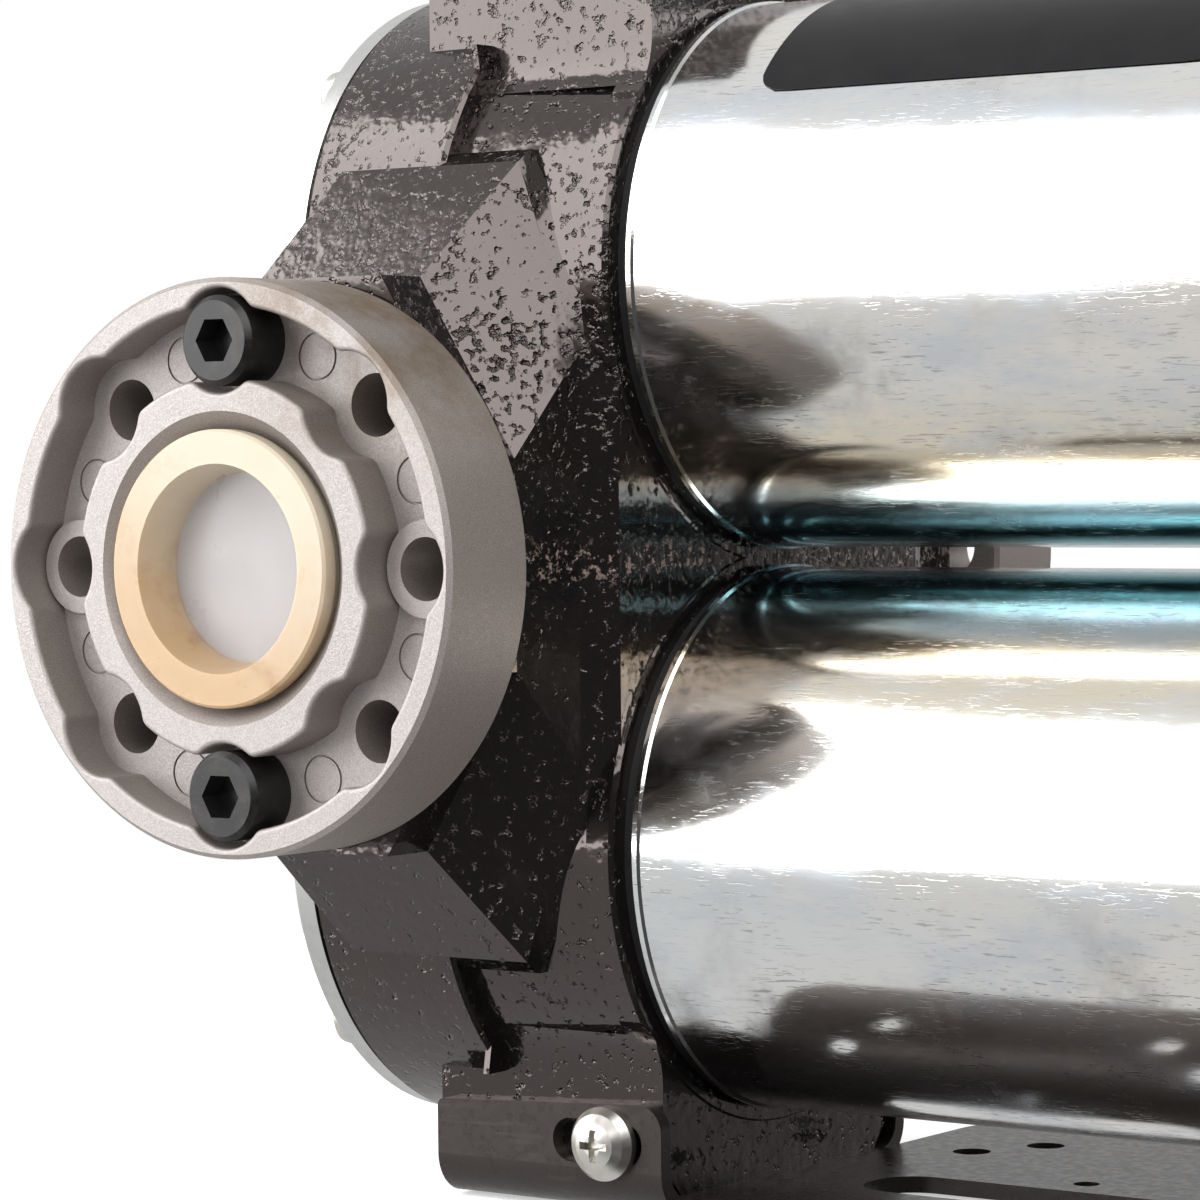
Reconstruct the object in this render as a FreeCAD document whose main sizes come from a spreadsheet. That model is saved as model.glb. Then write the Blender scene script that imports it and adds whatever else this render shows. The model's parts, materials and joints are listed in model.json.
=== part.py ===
"""Diesel transfer pump: two direct-current motors side by side, each driving a rotary-vane
chamber in one cast body, with a round port flange on either side and a folded sheet foot.

Units are millimetres. The origin is the centre of the foot's hole pattern on its underside,
+X runs along the motors to their rear, -Y faces the inlet and +Z is up. Pump parts are drawn
about the port axis, motor parts about their own shaft, and each is moved into place by its
Placement.
"""
import FreeCAD, Part
import math
import os

import Sketcher
from FreeCAD import Placement, Rotation, Vector

SIZES = (
    ("tube_gap", 3.0, "gap between the two motor tubes"),
    ("foot_reach", 85.5, "port axis to the centre of the foot's holes"),
    ("foot_gap", 13.0, "motor tube down to the underside of the foot"),
    ("front_x", -14.4, "front face of the body castings, from the port axis"),
    ("disc_end", 11.0, "rear edge of the chamber discs"),
    ("collar_x", 40.5, "rear face of the casting"),
    ("spigot_length", 5.5, "register of the casting inside a motor tube"),
    ("disc_over", 5.4, "chamber disc, radius beyond that of the motor tube"),
    ("neck_over_front", 2.2, "neck behind the chamber disc, radius beyond that of the tube"),
    ("neck_over_rear", 1.2, "neck at the collar, radius beyond that of the tube"),
    ("collar_front", 36.0, "front edge of the collar"),
    ("collar_over", 2.8, "collar at the rear of the casting, radius beyond that of the tube"),
    ("edge_break", 1.2, "rounded casting edges"),
    ("block_front", -1.0, "front face of the square blocks"),
    ("block_root", 12.0, "where the square blocks start, beyond the shaft"),
    ("block_half", 31.0, "half width of the square blocks"),
    ("block_hollow", 12.0, "hollow corner where a block meets the neck, radius"),
    ("corner_reach", 4.0, "fillings of the hollow corners, beyond the block's side"),
    ("block_bevel", 4.5, "bevel on the long edges of the blocks"),
    ("casting_play", 0.3, "parts of the casting, short of its end faces"),
    ("skirt_sunk", 5.9, "skirt of a port horn, inside the disc's radius"),
    ("root_sunk", 2.8, "root of a port horn, inside the disc's radius"),
    ("horn_taper", 11.2, "tapering stretch of a port horn"),
    ("horn_straight", 9.2, "straight stretch of a port horn, up to the flange"),
    ("skirt_top", 60.5, "horn skirt, height of its top edge"),
    ("skirt_side", 34.5, "horn skirt, height of its rear corners"),
    ("skirt_depth", 3.0, "horn skirt, sunk into the body"),
    ("root_left", -8.0, "horn root, left end of its top edge"),
    ("root_right", 25.0, "horn root, right end of its top edge"),
    ("root_top", 58.6, "horn root, height of its top edge"),
    ("root_reach", 35.2, "horn root, rear end"),
    ("root_side", 30.0, "horn root, height of its rear corners"),
    ("root_front", 45.6, "horn root, height of its front corners"),
    ("pad_half", 15.4, "flange seat, half length of its top edge"),
    ("pad_top", 41.8, "flange seat, half height"),
    ("pad_side", 32.2, "flange seat, half width"),
    ("pad_corner", 15.3, "flange seat, height of its side corners"),
    ("chamber_wall", 11.5, "chamber wall, inside the circle of the cover screws"),
    ("chamber_depth", 20.0, "pump chamber"),
    ("chamber_shift", 3.3, "chamber centre beyond the shaft"),
    ("rotor_gap", 0.2, "rotor to chamber wall where they come closest"),
    ("side_gap", 0.05, "clearance on each side of rotor and vanes"),
    ("vane_thick", 3.0, "sliding vane"),
    ("vane_root", 11.1, "inner edge of a vane pushed fully in, from the shaft axis"),
    ("vane_gap", 0.05, "clearance on each side of a vane in its slot"),
    ("vane_inset", 0.2, "vane pushed fully in, below the rotor's surface"),
    ("vane_bevel", 0.9, "sliding vane, bevels of its outer edge, across"),
    ("vane_slope", 0.5, "sliding vane, bevels of its outer edge, radially"),
    ("port_mouth", 16.0, "wide outer stretch of a port passage, radius"),
    ("port_mouth_depth", 19.0, "wide outer stretch of a port passage, depth"),
    ("port_bore", 11.5, "inner stretch of a port passage, radius"),
    ("gallery_front", -2.0, "gallery from port to chambers, front wall"),
    ("gallery_rear", 5.5, "gallery from port to chambers, rear wall"),
    ("gallery_over", 10.0, "gallery, outer wall beyond the chamber wall"),
    ("gallery_under", 5.0, "gallery, inner wall inside the chamber wall"),
    ("gallery_reach", 48.0, "gallery, half height"),
    ("bypass_radius", 7.5, "bypass valve bore"),
    ("bypass_seat", 5.0, "radius of the opening the poppet closes"),
    ("bypass_seat_y", 17.0, "poppet seat, from the middle towards the outlet"),
    ("slide_gap", 0.05, "radial clearance of running and locating fits"),
    ("overshoot", 1.0, "how far a cut runs past the surface it starts from"),
    ("chamfer", 0.8, "bevel on turned edges"),
    ("fine_chamfer", 0.4, "bevel on small turned edges"),
    ("screw_play", 0.3, "radial clearance of a screw in its clearance hole"),
    ("ring_gap", 0.02, "an O-ring to the face it seals"),
    ("bore_play", 0.4, "shaft in the openings it passes"),
    ("bore_step", 3.0, "wall between shaft pockets, opening beyond the shaft's radius"),
    ("tap_depth", 1.0, "tapped holes, beyond the end of their screw"),
    ("flange_radius", 41.5, "port flange"),
    ("flange_thick", 18.0, "port flange"),
    ("flange_rim", 4.0, "width of the rim's front face"),
    ("flange_floor", 7.3, "depth of the annular floor below the rim"),
    ("hub_radius", 27.3, "hub round the threaded port"),
    ("thread_minor", 19.475, "G 1 1/4 thread, minor radius"),
    ("mouth_radius", 22.5, "lead-in cone at the mouth of the port"),
    ("mouth_depth", 3.0, "lead-in cone at the mouth of the port"),
    ("bolt_circle", 32.5, "flange holes, radius of their circle"),
    ("bolt_hole", 4.5, "flange holes, radius"),
    ("scallop", 7.5, "pocket round a flange hole, radius"),
    ("boss_radius", 6.9, "raised ring round the side holes"),
    ("boss_height", 1.3, "raised ring round the side holes"),
    ("flange_edge", 0.7, "rounded edges of a port flange"),
    ("pocket_corner", 2.0, "rounded corners of the pockets in a port flange"),
    ("pin_mark", 3.5, "ejector mark, radius"),
    ("pin_groove", 0.35, "ejector mark, width of its outline"),
    ("pin_depth", 0.35, "ejector mark, depth of its outline"),
    ("groove_play", 0.2, "O-ring groove, beyond the ring on either side"),
    ("cap_screw_head", 6.5, "M8 socket screw, head radius"),
    ("cap_screw_height", 8.0, "M8 socket screw, head height"),
    ("cap_screw_shank", 4.0, "M8 socket screw, shank radius"),
    ("cap_screw_length", 22.0, "M8 socket screw, shank length"),
    ("cap_screw_hex", 6.0, "M8 socket screw, key across flats"),
    ("thread_gap", 0.05, "radial play of a screw in its tapped hole"),
    ("ring_section", 3.0, "flange O-ring, thickness"),
    ("ring_radius", 24.0, "flange O-ring, mean radius"),
    ("plug_lip", 19.9, "shipping plug, lip radius"),
    ("plug_proud", 0.9, "shipping plug, lip beyond the hub"),
    ("plug_length", 13.0, "shipping plug, overall length"),
    ("plug_mouth", 15.0, "shipping plug, recess radius at its mouth"),
    ("plug_floor", 13.75, "shipping plug, recess radius at its floor"),
    ("plug_recess", 7.0, "shipping plug, recess depth"),
    ("plug_skin", 1.4, "shipping plug, thickness of its floor"),
    ("plug_fit", 0.15, "shipping plug, radial play in the thread"),
    ("lip_thick", 2.6, "shipping plug, thickness of its lip"),
    ("plug_wall", 2.2, "shipping plug, wall at its inner end"),
    ("strainer_rim", 18.6, "inlet strainer, rim radius"),
    ("strainer_sheet", 0.8, "inlet strainer, sheet thickness"),
    ("strainer_radius", 13.6, "inlet strainer, basket radius"),
    ("strainer_length", 17.6, "inlet strainer, basket length"),
    ("strainer_pitch", 4.6, "inlet strainer, spacing of its rows of windows"),
    ("strainer_window", 3.8, "inlet strainer, width of its windows"),
    ("strainer_slot", 3.2, "inlet strainer, height of its windows"),
    ("poppet_length", 9.0, "bypass poppet"),
    ("poppet_cone", 1.6, "bypass poppet, height of its cone"),
    ("poppet_top", 1.9, "bypass poppet, cone's small end inside the seat's radius"),
    ("poppet_floor", 3.0, "bypass poppet, thickness of its head"),
    ("poppet_wall", 1.4, "bypass poppet, wall of its skirt"),
    ("retainer_thick", 5.0, "bypass spring retainer"),
    ("retainer_bore", 3.2, "bypass spring retainer, opening"),
    ("driver_slot", 1.6, "bypass spring retainer, width of its driver slot"),
    ("spring_wire", 0.6, "bypass spring, wire radius"),
    ("spring_radius", 4.9, "bypass spring, coil radius"),
    ("cover_inset", 0.6, "pump cover, inside the disc's radius"),
    ("cover_thick", 4.0, "pump cover"),
    ("cover_step_in", 5.5, "raised middle of a cover, inside the circle of its screws"),
    ("cover_rise", 1.0, "raised middle of a cover"),
    ("cover_part", 0.3, "a cover's flat, short of the mid-plane"),
    ("cover_relief", 1.0, "machined clearance round the covers"),
    ("cover_screw_in", 5.3, "cover screws, circle inside the cover's radius"),
    ("cover_ring_out", 3.6, "cover O-ring, mean radius beyond the chamber wall"),
    ("cover_section", 2.0, "cover O-ring, thickness"),
    ("cover_screw", 2.5, "M5 cover screw, shank radius"),
    ("cover_screw_head", 4.5, "M5 cover screw, head radius"),
    ("cover_screw_height", 3.9, "M5 cover screw, head height"),
    ("cover_screw_length", 14.0, "M5 cover screw, shank length"),
    ("cover_screw_top", 2.5, "M5 cover screw, radius of the flat on its head"),
    ("cover_screw_dome", 2.4, "M5 cover screw, height where its head rounds over"),
    ("shaft_front", 7.5, "shaft radius at the pump end"),
    ("shaft_core", 8.5, "shaft radius in the armature"),
    ("shaft_rear", 6.0, "shaft radius at the rear bearing"),
    ("shaft_short", 0.6, "shaft, short of the cover"),
    ("shaft_neck", 2.0, "shaft, thinner stretch in front of the commutator"),
    ("seal_x", 9.0, "shaft seal pocket, front wall"),
    ("seal_radius", 14.0, "shaft seal, outer radius"),
    ("seal_width", 7.0, "shaft seal"),
    ("seal_lip_gap", 0.3, "shaft seal, drawn clear of the shaft"),
    ("seal_case", 1.6, "shaft seal, rubber round its case"),
    ("seal_lip", 1.0, "shaft seal, thickness of its lip"),
    ("seal_web", 2.4, "shaft seal, its web behind the front face"),
    ("seal_end_gap", 0.1, "shaft seal, axial clearance in its pocket"),
    ("bearing_x", 20.0, "front bearing, front face"),
    ("bearing_front", 17.5, "front bearing 6202, outer radius"),
    ("bearing_front_width", 11.0, "front bearing 6202"),
    ("bearing_rear", 16.0, "rear bearing 6201, outer radius"),
    ("bearing_rear_width", 10.0, "rear bearing 6201"),
    ("ring_wall", 3.2, "bearing rings, radial thickness"),
    ("shield_dip", 0.5, "bearing shields, below the rings' faces"),
    ("register_wall", 7.0, "wall of the casting's register ring"),
    ("motor_radius", 41.0, "motor tube, outside"),
    ("motor_wall", 3.0, "motor tube"),
    ("motor_x", 42.0, "front end of a motor tube"),
    ("motor_length", 126.0, "motor tube"),
    ("motor_bead", 0.35, "rolled bead at a tube's end"),
    ("bead_width", 0.8, "rolled bead, its level stretch"),
    ("gasket_inset", 0.5, "gasket, inside the tube's radius"),
    ("magnet_thick", 6.0, "field magnets"),
    ("magnet_x", 30.0, "front end of the magnets, from the front end of the tube"),
    ("magnet_back", 36.0, "rear end of the magnets, from the rear end of the tube"),
    ("magnet_span", 68.0, "arc covered by one magnet, degrees"),
    ("air_gap", 0.75, "armature core to magnets"),
    ("core_x", 32.0, "front end of the armature core, from the front end of the tube"),
    ("core_back", 38.0, "rear end of the armature core, from the rear end of the tube"),
    ("core_slot", 3.4, "armature slots, width"),
    ("core_slot_depth", 11.0, "armature slots, depth"),
    ("coil_inset", 3.7, "end turns of the winding, inside the core's radius"),
    ("coil_inner", 13.0, "end turns of the winding, inner radius"),
    ("coil_length", 9.0, "end turns of the winding"),
    ("coil_round", 4.0, "end turns of the winding, rounding of their outer ends"),
    ("coil_bulge", 1.2, "end turns of the winding, swell between their ends"),
    ("commutator_radius", 12.5, "commutator"),
    ("commutator_back", 27.0, "front end of the commutator, from the rear end of the tube"),
    ("commutator_length", 16.0, "commutator"),
    ("brush_plate_back", 10.0, "front face of the brush plate, from the rear end of the tube"),
    ("brush_plate_thick", 3.0, "brush plate"),
    ("brush_plate_bore", 1.5, "brush plate, clear of the commutator"),
    ("brush_back", 23.5, "front face of the brushes, from the rear end of the tube"),
    ("brush_width", 9.0, "brushes, along the shaft"),
    ("brush_thick", 6.0, "brushes, across"),
    ("brush_clear", 9.2, "brushes, outer end inside the circle of the tie bolts"),
    ("brush_gap", 0.1, "clearance of a brush in its box"),
    ("holder_wall", 1.2, "brush boxes, wall"),
    ("holder_lift", 2.5, "brush boxes, clear of the commutator"),
    ("bar_gap", 0.6, "undercut between commutator bars, width"),
    ("bar_gap_depth", 0.8, "undercut between commutator bars, depth"),
    ("bell_depth", 18.0, "rear end bell beyond the tube"),
    ("bell_wall", 4.0, "rear end bell"),
    ("bell_inset", 6.5, "rear end bell, inner radius below that of the tube"),
    ("bell_hub", 3.5, "wall round the rear bearing"),
    ("bell_inset_front", 0.4, "rear end bell, inside the tube's radius at its front"),
    ("bell_draft", 0.8, "rear end bell, inside the tube's radius where it rounds over"),
    ("bell_round", 6.0, "rear end bell, rounded rear edge"),
    ("bell_ease", 1.8, "rear end bell, flat of its rounded edge"),
    ("hub_proud", 2.0, "rear end bell, hub beyond its rear face"),
    ("hub_slope", 3.0, "rear end bell, slope of the hub outside"),
    ("tie_inset", 6.3, "tie bolts, inside the tube's radius"),
    ("tie_radius", 2.5, "M5 tie bolt"),
    ("tie_gap", 0.3, "radial clearance round a tie bolt"),
    ("tie_end", 27.0, "front end of the tie bolts"),
    ("head_seat", 3.0, "depth of a tie bolt's head seat in the end bell"),
    ("tie_head", 4.6, "M5 tie bolt, head radius"),
    ("tie_head_height", 3.6, "M5 tie bolt, head height"),
    ("grommet_inset", 12.5, "lead grommet, inside the tube's radius"),
    ("grommet_radius", 5.5, "lead grommet, outside"),
    ("grommet_lip", 1.2, "lead grommet, depth of its groove"),
    ("grommet_play", 0.2, "lead grommet, radial play in its hole"),
    ("grommet_flare", 1.5, "lead grommet, thickness of its lips"),
    ("grommet_seat", 0.1, "lead grommet, lips clear of the sheet"),
    ("grommet_bore", 3.0, "lead grommet, opening"),
    ("sheet_thick", 2.5, "foot sheet"),
    ("ear_front", 0.0, "foot ears, front edge"),
    ("ear_rear", 41.5, "foot ears, rear edge"),
    ("ear_top_front", 14.8, "foot ears, height of their upper edge at the front"),
    ("ear_top_rear", 16.8, "foot ears, height of their upper edge at the rear"),
    ("bend_outer", 6.5, "foot bends, outside radius"),
    ("wing_end", 44.5, "foot plate, rear edge beyond the centre of its holes"),
    ("wing_half", 60.0, "foot plate, half width"),
    ("wing_corner", 8.0, "foot plate, outer corners"),
    ("ear_corner", 4.0, "foot ears, rounded upper rear corner"),
    ("small_hole", 2.0, "small foot holes, radius"),
    ("small_hole_y", 14.3, "small foot holes, from the middle"),
    ("window_reach", 28.5, "slot in the foot plate, half length"),
    ("window_half", 7.5, "slot in the foot plate, half width"),
    ("window_corner", 6.5, "slot in the foot plate, corners"),
    ("mount_x", 30.2, "foot holes, half spacing along X"),
    ("mount_y", 31.3, "foot holes, half spacing along Y"),
    ("mount_hole", 3.0, "foot holes, radius"),
    ("second_x", 23.3, "second foot pattern, half spacing along X"),
    ("second_y", 42.4, "second foot pattern, half spacing along Y"),
    ("ear_slot_x", 29.9, "ear slot, centre"),
    ("ear_slot_z", 10.5, "ear slot, height above the underside"),
    ("ear_slot_half", 8.1, "ear slot, half length"),
    ("ear_slot_width", 3.25, "ear slot, half width"),
    ("ear_slot_corner", 3.2, "ear slot, radius of its ends"),
    ("foot_screw_x", 31.6, "foot screw in the slot"),
    ("foot_screw", 3.0, "M6 foot screw, shank radius"),
    ("foot_screw_head", 5.5, "M6 foot screw, head radius"),
    ("foot_screw_rise", 3.7, "M6 foot screw, head height"),
    ("foot_screw_length", 14.0, "M6 foot screw, shank length"),
    ("pan_side", 1.2, "M6 foot screw, straight side of its head"),
    ("pan_round", 2.4, "M6 foot screw, height where its head rounds over"),
    ("pan_dome", 3.2, "M6 foot screw, height of the last slope of its head"),
    ("pan_round_in", 0.9, "M6 foot screw, head radius lost at the rounding"),
    ("pan_dome_in", 2.2, "M6 foot screw, head radius lost at the last slope"),
    ("pan_top", 1.5, "M6 foot screw, radius of the flat on its head"),
    ("cross_arm", 2.4, "M6 foot screw, reach of its cross recess"),
    ("cross_half", 0.55, "M6 foot screw, half width of its cross recess"),
    ("cross_depth", 2.0, "M6 foot screw, depth of its cross recess"),
)

VANES = 5
SLOTS = 12
FLANGE_HOLES = 8
COVER_SCREWS = 4
MAGNETS = 4
BRUSHES = 4
BARS = 20
STRAINER_ROWS = 3
STRAINER_WINDOWS = 8
SPRING_TURNS = 7

doc = FreeCAD.newDocument("TransferPump")


class Size:
    """A length together with the spreadsheet formula it comes from."""

    def __init__(self, value, formula):
        self.value = value
        self.formula = formula

    def join(self, other, sign, value):
        other = as_size(other)
        return Size(value(self.value, other.value), f"({self.formula} {sign} {other.formula})")

    def __add__(self, other):
        return self.join(other, "+", lambda a, b: a + b)

    def __sub__(self, other):
        return self.join(other, "-", lambda a, b: a - b)

    def __mul__(self, other):
        return self.join(other, "*", lambda a, b: a * b)

    def __truediv__(self, other):
        return self.join(other, "/", lambda a, b: a / b)

    def __neg__(self):
        return Size(-self.value, f"(0 - {self.formula})")


def square_root(size):
    return Size(math.sqrt(size.value), f"sqrt({size.formula})")


def as_size(value):
    return value if isinstance(value, Size) else Size(float(value), f"{float(value):.6f}")


class Sizes:
    """The driving dimensions, one attribute for each row of the spreadsheet."""

    def __init__(self):
        sheet = doc.addObject("Spreadsheet::Sheet", "Dims")
        for row, (name, value, note) in enumerate(SIZES, start=1):
            sheet.set(f"A{row}", note)
            sheet.set(f"B{row}", str(value))
            sheet.setAlias(f"B{row}", name)
            setattr(self, name, Size(value, f"Dims.{name}"))


D = Sizes()
D.axis_gap = D.motor_radius * 2 + D.tube_gap
D.foot_drop = D.axis_gap / 2 + D.motor_radius + D.foot_gap
D.disc_radius = D.motor_radius + D.disc_over
D.neck_front = D.motor_radius + D.neck_over_front
D.neck_rear = D.motor_radius + D.neck_over_rear
D.collar_radius = D.motor_radius + D.collar_over
D.horn_skirt = D.disc_radius - D.skirt_sunk
D.horn_root = D.disc_radius - D.root_sunk
D.horn_neck = D.horn_root + D.horn_taper
D.port_face = D.horn_neck + D.horn_straight
D.cover_radius = D.disc_radius - D.cover_inset
D.cover_circle = D.cover_radius - D.cover_screw_in
D.cover_step = D.cover_circle - D.cover_step_in
D.chamber_radius = D.cover_circle - D.chamber_wall
D.cover_ring = D.chamber_radius + D.cover_ring_out
D.rotor_radius = D.chamber_radius - D.chamber_shift - D.rotor_gap
D.vane_rest = D.rotor_radius - D.vane_inset
D.gallery_out = D.chamber_radius + D.gallery_over
D.gallery_in = D.chamber_radius - D.gallery_under
D.tube_inside = D.motor_radius - D.motor_wall
D.cavity_radius = D.tube_inside - D.register_wall
D.core_radius = D.tube_inside - D.slide_gap - D.magnet_thick - D.air_gap
D.coil_radius = D.core_radius - D.coil_inset
D.tie_circle = D.motor_radius - D.tie_inset
D.brush_height = D.tie_circle - D.brush_clear - D.commutator_radius - D.holder_lift
D.bell_inside = D.motor_radius - D.bell_inset
D.grommet_drop = D.motor_radius - D.grommet_inset
D.block_top = D.foot_drop - D.sheet_thick
D.tube_end = D.motor_x + D.motor_length
D.foot_under = -D.foot_drop
D.ear_slot_level = D.ear_slot_z - D.foot_drop
doc.recompute()

ZERO = as_size(0)


def bind(target, path, size):
    """Drives one property of an object by a formula."""
    target.setExpression(path, as_size(size).formula)


def new_body(label, y_turn=0, x_turn=0, shaft=0):
    """Starts a sub-part; shaft is +1 or -1 for one drawn about the upper or lower shaft."""
    body = doc.addObject("PartDesign::Body", label)
    body.Label = label
    turn = Rotation(Vector(0, 0, 1), y_turn).multiply(Rotation(Vector(1, 0, 0), x_turn))
    height = D.foot_drop + D.axis_gap * (shaft / 2)
    body.Placement = Placement(Vector(-D.foot_reach.value, 0, height.value), turn)
    bind(body, ".Placement.Base.x", -D.foot_reach)
    bind(body, ".Placement.Base.z", height)
    return body


def inlet_side(label):
    return new_body(label)


def outlet_side(label):
    return new_body(label, y_turn=180)


def on_shaft(label, upper):
    """The lower pump and motor are the upper ones turned half a turn about X."""
    return new_body(label, shaft=1) if upper else new_body(label, x_turn=180, shaft=-1)


def origin_feature(body, role):
    return next(item for item in body.Origin.OriginFeatures if item.Role == role)


def new_sketch(body, name, plane, lift=ZERO, right=ZERO, up=ZERO):
    """Opens a sketch on an origin plane, lifted along its normal and shifted within it."""
    sketch = body.newObject("Sketcher::SketchObject", name)
    sketch.AttachmentSupport = (origin_feature(body, plane), [""])
    sketch.MapMode = "FlatFace"
    for path, size in (("z", lift), ("x", right), ("y", up)):
        bind(sketch, f".AttachmentOffset.Base.{path}", size)
    return sketch


def constrain(sketch, kind, where, size):
    index = sketch.addConstraint(Sketcher.Constraint(kind, *where, as_size(size).value))
    bind(sketch, f"Constraints[{index}]", size)


def pin_point(sketch, shape, point, x, y):
    constrain(sketch, "DistanceX", (-1, 1, shape, point), x)
    constrain(sketch, "DistanceY", (-1, 1, shape, point), y)


def add_circle(sketch, radius, x=ZERO, y=ZERO):
    x, y, radius = as_size(x), as_size(y), as_size(radius)
    centre = Vector(x.value, y.value, 0)
    circle = sketch.addGeometry(Part.Circle(centre, Vector(0, 0, 1), radius.value))
    constrain(sketch, "Radius", (circle,), radius)
    pin_point(sketch, circle, 3, x, y)


def add_polygon(sketch, points):
    points = [(as_size(x), as_size(y)) for x, y in points]
    corners = [Vector(x.value, y.value, 0) for x, y in points]
    following = corners[1:] + corners[:1]
    lines = [sketch.addGeometry(Part.LineSegment(a, b)) for a, b in zip(corners, following)]
    for line, after in zip(lines, lines[1:] + lines[:1]):
        sketch.addConstraint(Sketcher.Constraint("Coincident", line, 2, after, 1))
    for line, (x, y) in zip(lines, points):
        pin_point(sketch, line, 1, x, y)


def add_rectangle(sketch, left, bottom, right, top):
    add_polygon(sketch, ((left, bottom), (right, bottom), (right, top), (left, top)))


def add_rounded(sketch, left, bottom, right, top, corner):
    """A rectangle with round corners: four lines joined by four tangent arcs."""
    x0, y0, x1, y1, r = (as_size(item).value for item in (left, bottom, right, top, corner))
    ends = (((x0 + r, y0), (x1 - r, y0)), ((x1, y0 + r), (x1, y1 - r)),
            ((x1 - r, y1), (x0 + r, y1)), ((x0, y1 - r), (x0, y0 + r)))
    lines = [sketch.addGeometry(Part.LineSegment(Vector(*a, 0), Vector(*b, 0))) for a, b in ends]
    centres = ((x1 - r, y0 + r), (x1 - r, y1 - r), (x0 + r, y1 - r), (x0 + r, y0 + r))
    arcs = []
    for index, centre in enumerate(centres):
        start = (index - 1) * math.pi / 2
        circle = Part.Circle(Vector(*centre, 0), Vector(0, 0, 1), r)
        arcs.append(sketch.addGeometry(Part.ArcOfCircle(circle, start, start + math.pi / 2)))
    for index, arc in enumerate(arcs):
        sketch.addConstraint(Sketcher.Constraint("Tangent", lines[index], 2, arc, 1))
        sketch.addConstraint(Sketcher.Constraint("Tangent", arc, 2, lines[(index + 1) % 4], 1))
        if index:
            sketch.addConstraint(Sketcher.Constraint("Equal", arcs[0], arc))
    constrain(sketch, "Radius", (arcs[0],), corner)
    for line, kind, size in ((0, "DistanceY", bottom), (1, "DistanceX", right),
                             (2, "DistanceY", top), (3, "DistanceX", left)):
        level = "Horizontal" if kind == "DistanceY" else "Vertical"
        sketch.addConstraint(Sketcher.Constraint(level, lines[line]))
        constrain(sketch, kind, (-1, 1, lines[line], 1), size)


def add_feature(body, kind, sketch, reverse=False):
    feature = body.newObject(f"PartDesign::{kind}", f"{sketch.Name}{kind}")
    feature.Profile = sketch
    feature.Reversed = reverse
    sketch.Visibility = False
    return feature


def extrude(body, kind, sketch, length, reverse=False):
    """A Pad or a Pocket of a bound length."""
    feature = add_feature(body, kind, sketch, reverse)
    bind(feature, "Length", length)
    return feature


def turn(body, kind, sketch, axis):
    """A Revolution or a Groove about one axis of its own sketch."""
    feature = add_feature(body, kind, sketch)
    feature.ReferenceAxis = (sketch, [axis])
    feature.Angle = 360
    return feature


def turned_x(body, name, points, kind="Revolution", up=ZERO, aside=ZERO):
    """Turns a profile of (x, radius) points about a line along X."""
    sketch = new_sketch(body, name, "XZ_Plane", up=up, lift=aside)
    add_polygon(sketch, points)
    return turn(body, kind, sketch, "H_Axis")


def turned_y(body, name, points, kind="Revolution", right=ZERO, lift=ZERO):
    """Turns a profile of (distance out, radius) points about a line along -Y."""
    sketch = new_sketch(body, name, "XY_Plane", lift=lift, right=right)
    add_polygon(sketch, [(radius, -as_size(out)) for out, radius in points])
    return turn(body, kind, sketch, "V_Axis")


def around(body, feature, count, axis, name, angle=360):
    """Repeats a feature round an origin axis."""
    pattern = body.newObject("PartDesign::PolarPattern", name)
    pattern.Originals = [feature]
    pattern.Axis = (origin_feature(body, axis), [""])
    pattern.Angle = angle
    pattern.Occurrences = count
    body.Tip = pattern
    return pattern


def across(body, features, plane, name):
    """Repeats features on the other side of an origin plane."""
    mirror = body.newObject("PartDesign::Mirrored", name)
    mirror.Originals = features
    mirror.MirrorPlane = (origin_feature(body, plane), [""])
    body.Tip = mirror
    return mirror


def edges_where(shape, test):
    """Names of the edges whose ends and middle all pass a test."""
    return [f"Edge{number}" for number, edge in enumerate(shape.Edges, start=1)
            if all(test(point) for point in [v.Point for v in edge.Vertexes] + [edge.CenterOfMass])]


def dress(body, kind, size, name, test):
    """Rounds or bevels the edges that pass a test."""
    doc.recompute()
    base = body.Tip
    names = edges_where(base.Shape, test)
    feature = body.newObject(f"PartDesign::{kind}", name)
    feature.Base = (base, names)
    bind(feature, "Radius" if kind == "Fillet" else "Size", size)
    return feature


def near(a, b, slack=0.01):
    return abs(a - b) < slack


def horn_outline(left, left_z, corner, top, right, side, side_z):
    """An eight-cornered outline, the same above and below the mid-plane."""
    upper = ((corner, top), (right, top), (side, side_z))
    lower = tuple((x, -z) for x, z in reversed(upper))
    return upper + lower + ((left, -left_z), (left, left_z))


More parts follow.
